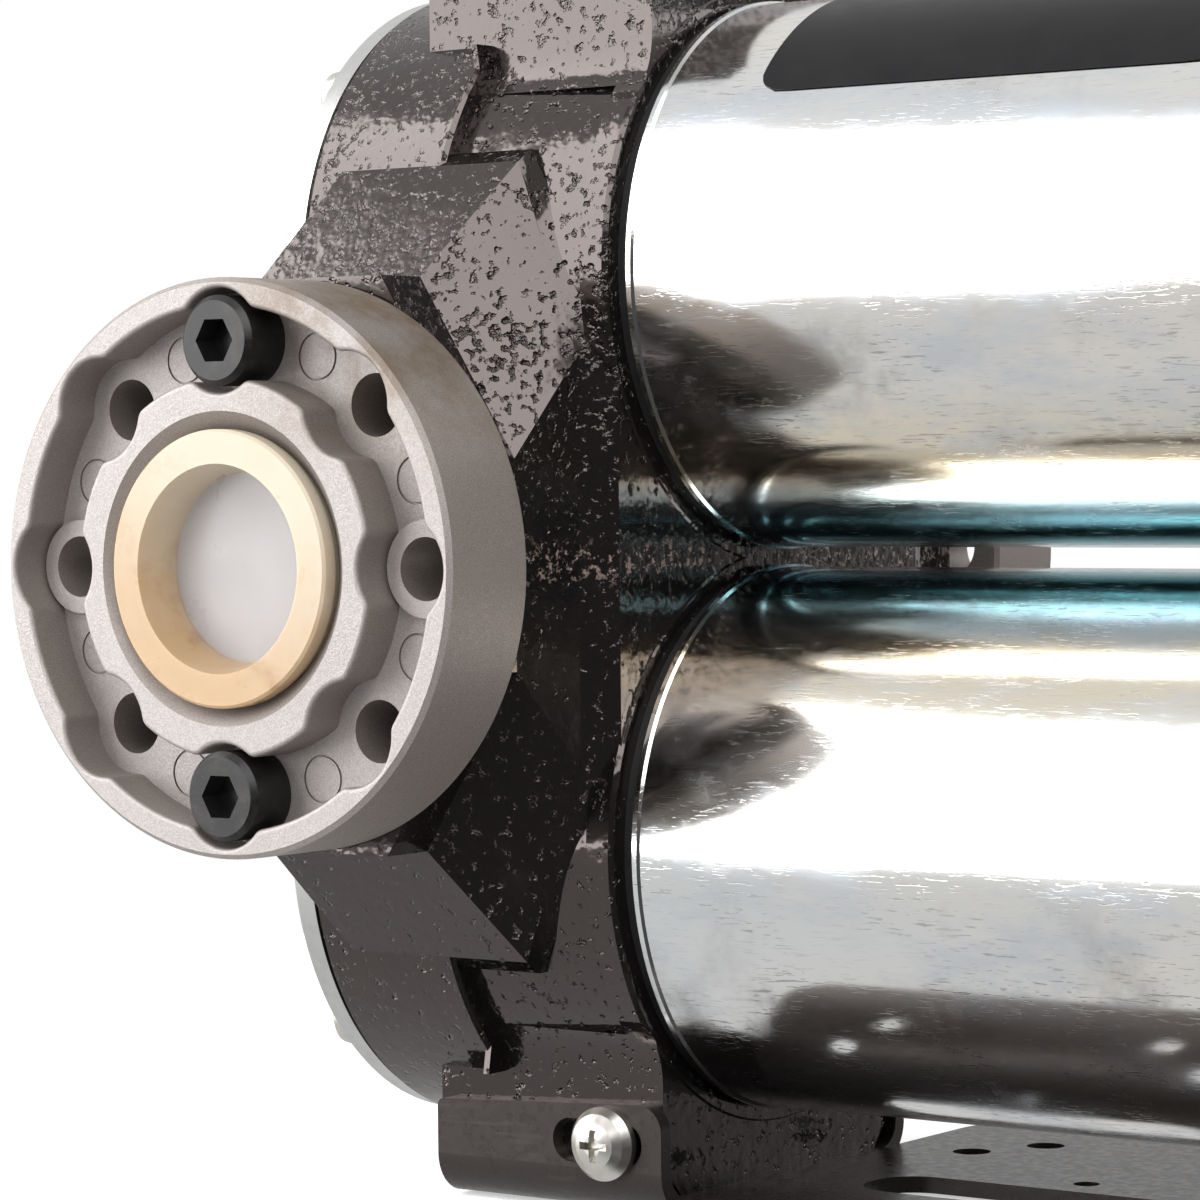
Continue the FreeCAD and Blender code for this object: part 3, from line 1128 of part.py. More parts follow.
def make_bell(label, upper):
    """The rear end bell with its bearing pocket and register ring."""
    body = on_shaft(label, upper)
    front = D.tube_end - D.brush_plate_back + D.brush_plate_thick
    seat = D.tube_end
    pocket = seat + D.bell_wall
    pocket_end = pocket + D.bearing_rear_width
    rear = seat + D.bell_depth
    outer, end = D.motor_radius, rear + D.hub_proud
    register = D.tube_inside - D.slide_gap
    hub = D.bearing_rear + D.bell_hub
    turned_x(body, "Bell", (
        (front, D.bell_inside), (front, register), (seat, register), (seat, outer - D.bell_inset_front),
        (rear - D.bell_round, outer - D.bell_draft),
        (rear - D.bell_ease, outer - D.bell_ease - D.bell_draft),
        (rear, outer - D.bell_round), (rear, hub + D.hub_slope), (end, hub), (end, ZERO),
        (pocket_end, ZERO), (pocket_end, D.bearing_rear), (pocket, D.bearing_rear), (pocket, hub),
        (rear - D.bell_wall, hub + D.hub_proud), (rear - D.bell_wall, D.bell_inside)))
    ties = new_sketch(body, "TieHoles", "YZ_Plane", lift=end)
    for side in (-1, 1):
        add_circle(ties, D.tie_radius + D.tie_gap, D.tie_circle * side, ZERO)
    extrude(body, "Pocket", ties, end - front)
    spots = new_sketch(body, "HeadSeats", "YZ_Plane", lift=end)
    for side in (-1, 1):
        add_circle(spots, D.tie_head + D.tie_gap * 2, D.tie_circle * side, ZERO)
    extrude(body, "Pocket", spots, D.head_seat + D.hub_proud)
    lead = new_sketch(body, "LeadHole", "YZ_Plane", lift=end)
    add_circle(lead, D.grommet_radius - D.grommet_lip, ZERO, -D.grommet_drop)
    extrude(body, "Pocket", lead, D.bell_wall + D.hub_proud + D.overshoot)
    return body


def make_grommets():
    """The rubber grommets of the lead holes; the leads are not part of the object."""
    body = inlet_side("lead_grommets")
    outside = D.tube_end + D.bell_depth + D.grommet_seat
    inside = D.tube_end + D.bell_depth - D.bell_wall - D.grommet_seat
    first, last = inside - D.grommet_flare, outside + D.grommet_flare
    lip, throat = D.grommet_radius, D.grommet_radius - D.grommet_lip - D.grommet_play
    grommet = turned_x(body, "Grommet", (
        (first, D.grommet_bore), (first, lip - D.fine_chamfer), (inside, lip), (inside, throat),
        (outside, throat), (outside, lip), (last, lip - D.fine_chamfer), (last, D.grommet_bore)),
        up=D.axis_gap / 2 - D.grommet_drop)
    across(body, [grommet], "XY_Plane", "Pair")
    return body


def make_ties():
    """The long bolts that draw each motor together, two to each."""
    body = inlet_side("tie_bolts")
    seat = D.tube_end + D.bell_depth - D.head_seat
    top, edge = seat + D.tie_head_height, D.fine_chamfer
    shank = D.tie_radius - D.thread_gap
    features = [turned_x(body, f"{name}Bolt", (
        (D.tie_end, ZERO), (D.tie_end, shank - edge), (D.tie_end + edge, shank), (seat, shank),
        (seat, D.tie_head), (top - edge, D.tie_head), (top, D.tie_head - edge), (top, ZERO)),
        up=D.axis_gap / 2, aside=D.tie_circle * side) for name, side in (("Near", -1), ("Far", 1))]
    across(body, features, "XY_Plane", "BothMotors")
    return body


def make_foot():
    """The folded sheet foot: a channel with two ears, its plate, slots and hole patterns."""
    body = inlet_side("foot_bracket")
    under, top = D.foot_under, D.foot_under + D.sheet_thick
    inner, side = D.block_half, D.block_half + D.sheet_thick
    low_peak, peak = D.foot_under + D.ear_top_front, D.foot_under + D.ear_top_rear
    channel = new_sketch(body, "Channel", "YZ_Plane", lift=D.ear_front)
    add_polygon(channel, ((-side, under), (side, under), (side, peak), (inner, peak),
                          (inner, top), (-inner, top), (-inner, peak), (-side, peak)))
    extrude(body, "Pad", channel, D.ear_rear - D.ear_front)
    dress(body, "Fillet", D.bend_outer, "Bends",
          lambda p: near(abs(p.y), side.value) and near(p.z, under.value))
    dress(body, "Fillet", D.bend_outer - D.sheet_thick, "InnerBends",
          lambda p: near(abs(p.y), inner.value) and near(p.z, top.value))
    slope = new_sketch(body, "EarSlope", "XZ_Plane", lift=side)
    add_polygon(slope, ((D.ear_front, low_peak), (D.ear_rear, peak), (D.ear_front, peak)))
    extrude(body, "Pocket", slope, side * 2)
    dress(body, "Fillet", D.ear_corner, "EarCorners",
          lambda p: near(p.x, D.ear_rear.value) and near(p.z, peak.value))
    dress(body, "Fillet", D.edge_break, "EarFronts",
          lambda p: near(p.x, D.ear_front.value) and near(p.z, low_peak.value))
    plate_end = D.foot_reach + D.wing_end
    plate = new_sketch(body, "Plate", "XY_Plane", lift=under)
    add_rectangle(plate, D.ear_rear, -D.wing_half, plate_end, D.wing_half)
    extrude(body, "Pad", plate, D.sheet_thick)
    dress(body, "Fillet", D.wing_corner, "WingCorners",
          lambda p: near(abs(p.y), D.wing_half.value)
          and (near(p.x, D.ear_rear.value) or near(p.x, plate_end.value)))
    window = new_sketch(body, "Window", "XY_Plane", lift=top)
    add_rounded(window, D.foot_reach - D.window_reach, -D.window_half,
                D.foot_reach + D.window_reach, D.window_half, D.window_corner)
    extrude(body, "Pocket", window, D.sheet_thick)
    holes = new_sketch(body, "Holes", "XY_Plane", lift=top)
    for x_side in (-1, 1):
        for y_side in (-1, 1):
            add_circle(holes, D.mount_hole, D.foot_reach + D.mount_x * x_side, D.mount_y * y_side)
            add_circle(holes, D.mount_hole, D.foot_reach + D.second_x * x_side, D.second_y * y_side)
    for y_side in (-1, 1):
        add_circle(holes, D.small_hole, D.foot_reach, D.small_hole_y * y_side)
    extrude(body, "Pocket", holes, D.sheet_thick)
    slot = new_sketch(body, "EarSlots", "XZ_Plane", lift=side)
    add_rounded(slot, D.ear_slot_x - D.ear_slot_half, D.ear_slot_level - D.ear_slot_width,
                D.ear_slot_x + D.ear_slot_half, D.ear_slot_level + D.ear_slot_width,
                D.ear_slot_corner)
    extrude(body, "Pocket", slot, side * 2)
    return body


def make_foot_screws():
    """The two pan-head screws that hold the ears to the bottom block."""
    body = inlet_side("foot_screws")
    under = D.block_half + D.sheet_thick
    shank, head = D.foot_screw - D.thread_gap, D.foot_screw_head
    screw = turned_y(body, "Screw", (
        (under - D.foot_screw_length, ZERO), (under - D.foot_screw_length, shank), (under, shank),
        (under, head), (under + D.pan_side, head), (under + D.pan_round, head - D.pan_round_in),
        (under + D.pan_dome, head - D.pan_dome_in), (under + D.foot_screw_rise, D.pan_top),
        (under + D.foot_screw_rise, ZERO)), right=D.foot_screw_x, lift=D.ear_slot_level)
    cross = new_sketch(body, "Cross", "XZ_Plane", lift=under + D.foot_screw_rise)
    arm, wide = D.cross_arm, D.cross_half
    corners = ((-arm, -wide), (-wide, -wide), (-wide, -arm), (wide, -arm), (wide, -wide), (arm, -wide),
               (arm, wide), (wide, wide), (wide, arm), (-wide, arm), (-wide, wide), (-arm, wide))
    add_polygon(cross, [(D.foot_screw_x + x, D.ear_slot_level + z) for x, z in corners])
    recess = extrude(body, "Pocket", cross, D.cross_depth)
    across(body, [screw, recess], "XZ_Plane", "Pair")
    return body


def make_all():
    make_casting()
    for name, start in (("inlet", inlet_side), ("outlet", outlet_side)):
        make_flange(f"{name}_flange", start)
        make_flange_ring(f"{name}_flange_seal", start)
        make_plug(f"{name}_plug", start)
    make_strainer()
    make_poppet()
    make_retainer()
    make_spring()
    rear_bearing_x = D.tube_end + D.bell_wall
    for name, upper in (("upper", True), ("lower", False)):
        make_cover(f"{name}_cover", upper)
        make_cover_ring(f"{name}_cover_seal", upper)
        make_rotor(f"{name}_rotor", upper)
        for place in range(VANES):
            make_vane(f"{name}_vane_{place + 1}", upper, place)
        make_shaft(f"{name}_shaft", upper)
        make_shaft_seal(f"{name}_shaft_seal", upper)
        make_bearing(f"{name}_front_bearing", upper, D.bearing_x, D.shaft_front,
                     D.bearing_front, D.bearing_front_width)
        make_bearing(f"{name}_rear_bearing", upper, rear_bearing_x, D.shaft_rear,
                     D.bearing_rear, D.bearing_rear_width)
        make_tube(f"{name}_motor_tube", upper)
        make_tube_gasket(f"{name}_tube_gasket", upper)
        make_magnets(f"{name}_magnets", upper)
        make_core(f"{name}_armature_core", upper)
        make_winding(f"{name}_winding", upper)
        make_commutator(f"{name}_commutator", upper)
        make_brush_plate(f"{name}_brush_plate", upper)
        make_brushes(f"{name}_brushes", upper)
        make_bell(f"{name}_end_bell", upper)
    make_flange_screws()
    make_cover_screws()
    make_ties()
    make_grommets()
    make_foot()
    make_foot_screws()


def check_all():
    """Stops the build if any object failed or any sub-part is not a sound solid."""
    broken = [item.Name for item in doc.Objects if {"Invalid", "Error"} & set(item.State)]
    if broken:
        raise RuntimeError(f"objects in error: {broken}")
    nodes = [item for item in doc.Objects
             if item.TypeId == "PartDesign::Body" or item.Name == "bypass_spring"]
    for node in nodes:
        if node.Shape.isNull() or not node.Shape.isValid() or not node.Shape.Solids:
            raise RuntimeError(f"{node.Label} is not a sound solid")
    return nodes


def write_all(nodes):
    os.makedirs("parts", exist_ok=True)
    for node in nodes:
        node.Shape.exportStep(f"parts/{node.Label}.step")
        print(node.Label, len(node.Shape.Solids), round(node.Shape.Volume, 1))
    print(len(nodes), "sub-parts")


make_all()
doc.recompute()
write_all(check_all())
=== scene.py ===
"""Dresses a diesel transfer pump for its portrait: painted casting, flanges, zinc motors, foot.

Lengths are metres in the pump's own frame: +X runs to the rear of the motors, -Y faces the inlet
and +Z is up.
"""

import json
import math

import bpy
from mathutils import Matrix, Vector


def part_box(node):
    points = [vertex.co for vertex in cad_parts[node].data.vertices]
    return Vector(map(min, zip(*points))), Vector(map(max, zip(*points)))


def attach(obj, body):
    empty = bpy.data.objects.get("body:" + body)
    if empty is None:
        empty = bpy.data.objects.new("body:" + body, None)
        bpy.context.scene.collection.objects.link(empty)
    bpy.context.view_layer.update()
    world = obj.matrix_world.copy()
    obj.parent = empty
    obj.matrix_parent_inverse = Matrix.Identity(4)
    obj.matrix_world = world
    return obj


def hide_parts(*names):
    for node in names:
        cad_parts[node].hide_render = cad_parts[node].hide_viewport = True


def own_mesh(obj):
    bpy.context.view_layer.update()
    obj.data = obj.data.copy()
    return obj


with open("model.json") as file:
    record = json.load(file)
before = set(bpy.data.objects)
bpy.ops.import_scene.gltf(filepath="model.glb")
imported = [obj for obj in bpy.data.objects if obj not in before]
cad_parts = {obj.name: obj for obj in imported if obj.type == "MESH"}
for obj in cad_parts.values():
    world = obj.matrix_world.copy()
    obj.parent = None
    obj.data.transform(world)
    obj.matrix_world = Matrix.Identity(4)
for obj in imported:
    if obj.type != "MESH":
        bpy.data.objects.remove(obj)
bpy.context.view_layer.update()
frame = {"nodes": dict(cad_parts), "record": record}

MM = 0.001

camera_place = Vector((320.35, -548.62, 110.98)) * MM
camera_turn = math.radians(36.0036)
camera_drop = math.radians(1.8126)
camera_roll = math.radians(-0.6231)
photo_width = 1200.0
focal_pixels = 4327.9
sensor_width = 36.0

inlet_low, inlet_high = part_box("inlet_flange")
tube_low, tube_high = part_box("upper_motor_tube")
port_x = (inlet_low[0] + inlet_high[0]) / 2
port_z = (inlet_low[2] + inlet_high[2]) / 2
tube_z = (tube_low[2] + tube_high[2]) / 2
tube_front = tube_low[0]
tube_radius = 41.0 * MM


def deselect():
    """Leaves nothing selected, so that an operator acts only on what comes next."""
    if bpy.context.mode != "OBJECT":
        bpy.ops.object.mode_set(mode="OBJECT")
    bpy.ops.object.select_all(action="DESELECT")


def pick(piece):
    """Makes a piece the only selected and active one."""
    deselect()
    piece.select_set(True)
    bpy.context.view_layer.objects.active = piece


def apply_modifiers(piece):
    """Works a piece's modifiers into its mesh."""
    pick(piece)
    for modifier in list(piece.modifiers):
        bpy.ops.object.modifier_apply(modifier=modifier.name)


def settle(piece):
    """Moves a piece's place into its mesh."""
    pick(piece)
    bpy.ops.object.transform_apply(location=True, rotation=True, scale=True)


def copy_node(node, name):
    """A welded copy of a CAD node's mesh, to be worked on as a piece of its own."""
    weld_gap = 0.01 * MM
    pick(frame["nodes"][node])
    bpy.ops.object.duplicate()
    piece = bpy.context.view_layer.objects.active
    piece.name = name
    bpy.ops.object.mode_set(mode="EDIT")
    bpy.ops.mesh.select_all(action="SELECT")
    bpy.ops.mesh.remove_doubles(threshold=weld_gap)
    bpy.ops.object.mode_set(mode="OBJECT")
    return piece


def smooth_shaded(piece, angle=35):
    """Shades a piece smooth wherever its faces meet at less than the angle."""
    pick(piece)
    bpy.ops.object.shade_smooth_by_angle(angle=math.radians(angle))


class Tree:
    """Adds and joins the nodes of one material or node group."""

    def __init__(self, tree):
        self.nodes = tree.nodes
        self.links = tree.links

    def add(self, kind, settings=None, **inputs):
        """A new node; its inputs are named with underscores for spaces."""
        node = self.nodes.new(kind)
        for name, value in (settings or {}).items():
            setattr(node, name, value)
        for name, value in inputs.items():
            self.feed(node, name.replace("_", " "), value)
        return node

    def feed(self, node, name, value):
        """Joins a socket to an input, given by name or number, or else sets its value."""
        socket = node.inputs[int(name)] if name.isdigit() else node.inputs[name]
        if isinstance(value, bpy.types.NodeSocket):
            self.links.new(value, socket)
        else:
            socket.default_value = value

    def math(self, operation, first, second=0.0):
        """A sum, product or the like of two values, or of one."""
        node = self.add("ShaderNodeMath", {"operation": operation})
        self.feed(node, "0", first)
        self.feed(node, "1", second)
        return node.outputs[0]

    def mix(self, factor, first, second):
        """The first colour where the factor is 0, the second where it is 1."""
        node = self.nodes.new("ShaderNodeMix")
        node.data_type = "RGBA"
        for index, value in ((0, factor), (6, first), (7, second)):
            if isinstance(value, bpy.types.NodeSocket):
                self.links.new(value, node.inputs[index])
            else:
                node.inputs[index].default_value = value
        return node.outputs[2]

    def ramp(self, factor, stops):
        """A soft step; its stops are from low, from high, to low and to high."""
        node = self.add("ShaderNodeMapRange", {"clamp": True, "interpolation_type": "SMOOTHSTEP"})
        for index, value in enumerate((factor,) + stops):
            self.feed(node, str(index), value)
        return node.outputs[0]

    def place(self, scale=(1.0, 1.0, 1.0), turn=(0.0, 0.0, 0.0)):
        """Object coordinates, stretched and turned by a Mapping node."""
        where = self.add("ShaderNodeTexCoord").outputs["Object"]
        return self.add("ShaderNodeMapping", Vector=where, Scale=scale, Rotation=turn).outputs[0]

    def parts(self, vector):
        """The X, Y and Z of a vector."""
        return self.add("ShaderNodeSeparateXYZ", Vector=vector).outputs

    def off_middle(self):
        """The distance above or below the port axis, where the two motors meet."""
        level = self.parts(self.place())[2]
        return self.math("ABSOLUTE", self.math("SUBTRACT", level, port_z))

    def noise(self, vector, scale, detail=3.0, roughness=0.55):
        """Cloudy noise round 0.5."""
        return self.add("ShaderNodeTexNoise", Vector=vector, Scale=scale, Detail=detail,
                        Roughness=roughness).outputs["Fac"]


def new_group(name, inputs, outputs):
    """An empty shader node group with the named number sockets."""
    group = bpy.data.node_groups.new(name, "ShaderNodeTree")
    for label, value in inputs:
        socket = group.interface.new_socket(label, in_out="INPUT", socket_type="NodeSocketFloat")
        socket.default_value = value
    for label in outputs:
        group.interface.new_socket(label, in_out="OUTPUT", socket_type="NodeSocketFloat")
    tree = Tree(group)
    return group, tree, tree.nodes.new("NodeGroupInput"), tree.nodes.new("NodeGroupOutput")


def build_cast_skin():
    """Thick paint over a sand casting: pits, most of them on its upper half, over a slow wave."""
    group, tree, given, out = new_group(
        "cast_skin", (("Pit size", 760.0), ("Wave size", 170.0), ("Patch size", 42.0)),
        ("Height", "Rough"))
    fade = 12.0 * MM
    more_pits, pit_edge, pit_depth = 0.11, 0.615, 11.0
    where = tree.place()
    grit = tree.noise(where, given.outputs["Pit size"], detail=2.5, roughness=0.5)
    patch = tree.noise(where, given.outputs["Patch size"], detail=2.0)
    upper = tree.ramp(tree.parts(where)[2], (port_z - fade, port_z + fade, 0.0, 1.0))
    rough = tree.math("MULTIPLY", tree.ramp(patch, (0.36, 0.62, 0.15, 1.0)), upper)
    lifted = tree.math("ADD", grit, tree.math("MULTIPLY", rough, more_pits))
    above = tree.math("MAXIMUM", tree.math("SUBTRACT", lifted, pit_edge), 0.0)
    pits = tree.math("MULTIPLY", above, -pit_depth)
    peel = tree.noise(where, tree.math("MULTIPLY", given.outputs["Pit size"], 0.7), detail=1.0)
    wave = tree.noise(where, given.outputs["Wave size"], detail=1.0)
    slow = tree.math("ADD", tree.math("MULTIPLY", peel, 0.4), tree.math("MULTIPLY", wave, 0.5))
    tree.links.new(tree.math("ADD", pits, slow), out.inputs["Height"])
    tree.links.new(rough, out.inputs["Rough"])
    return group


def build_fine_grain():
    """The fine matte grain of die-cast metal: a height and a colour mask."""
    group, tree, given, out = new_group(
        "fine_grain", (("Grain size", 2200.0),), ("Height", "Speckle"))
    where = tree.place()
    grain = tree.noise(where, given.outputs["Grain size"], detail=3.0, roughness=0.65)
    coarse_size = tree.math("MULTIPLY", given.outputs["Grain size"], 0.3)
    coarse = tree.noise(where, coarse_size, detail=2.0)
    height = tree.math("ADD", grain, tree.math("MULTIPLY", coarse, 0.6))
    tree.links.new(height, out.inputs["Height"])
    tree.links.new(tree.ramp(grain, (0.35, 0.68, 0.0, 1.0)), out.inputs["Speckle"])
    return group


def build_wear_lines():
    """Hairline scratches that run mostly along X, as a mask."""
    group, tree, given, out = new_group(
        "wear_lines", (("Line size", 1400.0), ("Amount", 0.4)), ("Mask",))
    along = tree.noise(tree.place((0.10, 1.0, 1.0)), given.outputs["Line size"], detail=2.0)
    slanted = tree.place((0.16, 1.0, 1.0), turn=(0.0, 0.5, 0.35))
    crossing = tree.noise(slanted, given.outputs["Line size"], detail=2.0)
    spots = tree.noise(tree.place(), 60.0, detail=2.0)
    first = tree.ramp(along, (0.60, 0.68, 0.0, 1.0))
    second = tree.ramp(crossing, (0.62, 0.70, 0.0, 0.8))
    both = tree.math("MAXIMUM", first, second)
    worn = tree.math("MULTIPLY", both, tree.ramp(spots, (0.38, 0.62, 0.2, 1.0)))
    tree.links.new(tree.math("MULTIPLY", worn, given.outputs["Amount"]), out.inputs["Mask"])
    return group


def build_grime():
    """Soft dirty patches and small stains, as a mask."""
    group, tree, given, out = new_group(
        "grime", (("Patch size", 35.0), ("Low", 0.52), ("High", 0.75)), ("Mask",))
    where = tree.place()
    patch = tree.noise(where, given.outputs["Patch size"], detail=5.0, roughness=0.62)
    fine = tree.noise(where, 420.0, detail=3.0)
    soiled = tree.ramp(patch, (given.outputs["Low"], given.outputs["High"], 0.0, 1.0))
    broken = tree.ramp(fine, (0.25, 0.6, 0.45, 1.0))
    tree.links.new(tree.math("MULTIPLY", soiled, broken), out.inputs["Mask"])
    return group


CAST_SKIN = build_cast_skin()
FINE_GRAIN = build_fine_grain()
WEAR_LINES = build_wear_lines()
GRIME = build_grime()


def use_group(tree, group, **inputs):
    """A node that uses a group, with some of its inputs set."""
    node = tree.nodes.new("ShaderNodeGroup")
    node.node_tree = group
    for name, value in inputs.items():
        tree.feed(node, name.replace("_", " "), value)
    return node


def new_material(name, **constants):
    """A Principled material; its constants go straight onto the shader's sockets."""
    material = bpy.data.materials.new(name)
    material.use_nodes = True
    tree = Tree(material.node_tree)
    shader = tree.nodes["Principled BSDF"]
    for label, value in constants.items():
        shader.inputs[label.replace("_", " ")].default_value = value
    return material, tree, shader


def bump(tree, shader, height, strength, distance=0.2 * MM):
    """Lets a height tilt the shader's surface."""
    node = tree.add("ShaderNodeBump", Strength=strength, Distance=distance, Height=height)
    tree.links.new(node.outputs[0], shader.inputs["Normal"])


def rgb(red, green, blue):
    """An opaque colour."""
    return (red, green, blue, 1.0)


def make_casting_paint():
    """Gloss black enamel, pitted over the sand skin and specked light at the parting line."""
    material, tree, shader = new_material(
        "casting_paint", Metallic=0.0, IOR=1.5, Specular_IOR_Level=1.0,
        Specular_Tint=rgb(1.0, 0.86, 0.82))
    skin = use_group(tree, CAST_SKIN)
    dust = use_group(tree, GRIME, Patch_size=70.0, Low=0.55, High=0.85)
    parting = tree.ramp(tree.off_middle(), (1.0 * MM, 4.2 * MM, 1.0, 0.0))
    speckle = tree.noise(tree.place(), 640.0, detail=3.0, roughness=0.7)
    rubbed = tree.math("MULTIPLY", parting, tree.ramp(speckle, (0.54, 0.63, 0.0, 1.0)))
    enamel = tree.mix(dust.outputs[0], rgb(0.006, 0.0052, 0.005), rgb(0.020, 0.016, 0.014))
    tree.feed(shader, "Base Color", tree.mix(rubbed, enamel, rgb(0.21, 0.155, 0.13)))
    smooth = tree.ramp(skin.outputs["Rough"], (0.0, 1.0, 0.09, 0.15))
    tree.feed(shader, "Roughness", tree.math("ADD", smooth, tree.math("MULTIPLY", rubbed, 0.3)))
    bump(tree, shader, skin.outputs["Height"], 1.0, 0.16 * MM)
    return material


def make_sheet_paint():
    """Brownish black paint of the folded foot, thinly scratched."""
    material, tree, shader = new_material(
        "sheet_paint", Metallic=0.0, IOR=1.5, Specular_Tint=rgb(1.0, 0.88, 0.84))
    peel = tree.noise(tree.place(), 700.0, detail=2.0)
    wear = use_group(tree, WEAR_LINES, Line_size=900.0, Amount=0.5)
    paint = tree.mix(wear.outputs[0], rgb(0.020, 0.0165, 0.0155), rgb(0.045, 0.038, 0.035))
    tree.feed(shader, "Base Color", paint)
    tree.feed(shader, "Roughness", tree.ramp(peel, (0.3, 0.7, 0.26, 0.36)))
    bump(tree, shader, peel, 0.10)
    return material


def make_flange_alloy():
    """Die-cast aluminium, warm grey and finely grained, browned by oil on the rim's upper right;
    faces that do not point along Y get painted shade, darker and browner.
    """
    material, tree, shader = new_material("flange_alloy", Metallic=0.45)
    grain = use_group(tree, FINE_GRAIN, Grain_size=5200.0)
    stain = use_group(tree, GRIME, Patch_size=70.0, Low=0.32, High=0.62)
    parts = tree.parts(tree.place())
    upper = tree.ramp(parts[2], (port_z + 4.0 * MM, port_z + 40.0 * MM, 0.0, 1.0))
    rightward = tree.ramp(parts[0], (port_x - 4.0 * MM, port_x + 22.0 * MM, 0.0, 1.0))
    # Painted shade: faces that do not point along Y (the rim, bore and hole walls) are painted
    # darker and browner than the flange face.
    facing = tree.parts(tree.add("ShaderNodeNewGeometry").outputs["Normal"])[1]
    rim = tree.ramp(tree.math("ABSOLUTE", facing), (0.55, 0.90, 1.0, 0.0))
    speckle = grain.outputs["Speckle"]
    metal = tree.mix(speckle, rgb(0.325, 0.297, 0.284), rgb(0.43, 0.395, 0.38))
    shaded_side_tone = tree.mix(speckle, rgb(0.19, 0.16, 0.14), rgb(0.29, 0.25, 0.225))
    alloy_with_shaded_sides = tree.mix(tree.math("MULTIPLY", rim, 0.75), metal, shaded_side_tone)
    oil = tree.math("MULTIPLY", tree.math("MULTIPLY", stain.outputs[0], upper), rightward)
    tree.feed(shader, "Base Color", tree.mix(oil, alloy_with_shaded_sides, rgb(0.17, 0.12, 0.075)))
    tree.feed(shader, "Roughness", tree.ramp(speckle, (0.0, 1.0, 0.56, 0.44)))
    bump(tree, shader, grain.outputs["Height"], 0.30)
    return material


def make_tube_zinc():
    """Bright zinc plate: teal where the tubes meet, straw beside it, hairlines and stains."""
    material, tree, shader = new_material("tube_zinc", Metallic=1.0)
    tint = tree.ramp(tree.noise(tree.place((0.25, 1.0, 1.0)), 26.0, detail=2.0),
                     (0.35, 0.65, 0.0, 1.0))
    stain = use_group(tree, GRIME, Patch_size=48.0, Low=0.50, High=0.78).outputs[0]
    wear = use_group(tree, WEAR_LINES, Line_size=2400.0, Amount=0.7).outputs[0]
    middle = tree.off_middle()
    teal = tree.ramp(middle, (3.0 * MM, 11.0 * MM, 0.9, 0.0))
    straw_in = tree.ramp(middle, (7.0 * MM, 13.0 * MM, 0.0, 0.75))
    straw_out = tree.ramp(middle, (17.0 * MM, 27.0 * MM, 1.0, 0.0))
    plate = tree.mix(tint, rgb(0.82, 0.84, 0.84), rgb(0.88, 0.85, 0.80))
    warm = tree.mix(tree.math("MULTIPLY", straw_in, straw_out), plate, rgb(0.86, 0.76, 0.58))
    blued = tree.mix(teal, warm, rgb(0.44, 0.62, 0.64))
    hazy = tree.noise(tree.place((0.35, 1.0, 1.0)), 75.0, detail=5.0, roughness=0.7)
    haze = tree.ramp(hazy, (0.42, 0.66, 0.0, 0.6))
    clouded = tree.mix(haze, blued, rgb(0.60, 0.66, 0.74))
    stained = tree.mix(tree.math("MULTIPLY", stain, 0.55), clouded, rgb(0.36, 0.34, 0.32))
    tree.feed(shader, "Base Color", tree.mix(wear, stained, rgb(0.40, 0.38, 0.36)))
    dulled = tree.math("ADD", tree.math("MULTIPLY", wear, 0.2), tree.math("MULTIPLY", haze, 0.16))
    gloss = tree.math("ADD", tree.ramp(stain, (0.0, 1.0, 0.11, 0.28)), dulled)
    tree.feed(shader, "Roughness", gloss)
    ripple = tree.noise(tree.place((0.3, 1.0, 1.0)), 90.0, detail=3.0)
    height = tree.math("SUBTRACT", tree.math("MULTIPLY", ripple, 0.7),
                       tree.math("MULTIPLY", wear, 0.4))
    bump(tree, shader, height, 0.10, 0.4 * MM)
    return material


def make_plated(name, bright, dull, smooth, rough, size=900.0):
    """Plated or ground steel with small wear."""
    material, tree, shader = new_material(name, Metallic=1.0)
    wear = use_group(tree, GRIME, Patch_size=size / 6, Low=0.40, High=0.75)
    tree.feed(shader, "Base Color", tree.mix(wear.outputs[0], bright, dull))
    tree.feed(shader, "Roughness", tree.ramp(wear.outputs[0], (0.0, 1.0, smooth, rough)))
    bump(tree, shader, tree.noise(tree.place(), size, detail=2.0), 0.10, 0.1 * MM)
    return material


def make_black_oxide():
    """Blackened socket screws, rubbed a little lighter in places."""
    material, tree, shader = new_material("black_oxide", Metallic=0.35)
    wear = use_group(tree, GRIME, Patch_size=260.0, Low=0.45, High=0.85).outputs[0]
    black = tree.mix(wear, rgb(0.013, 0.0125, 0.0125), rgb(0.055, 0.048, 0.044))
    tree.feed(shader, "Base Color", black)
    tree.feed(shader, "Roughness", tree.ramp(wear, (0.0, 1.0, 0.34, 0.5)))
    bump(tree, shader, tree.noise(tree.place(), 1800.0, detail=2.0), 0.15, 0.1 * MM)
    return material


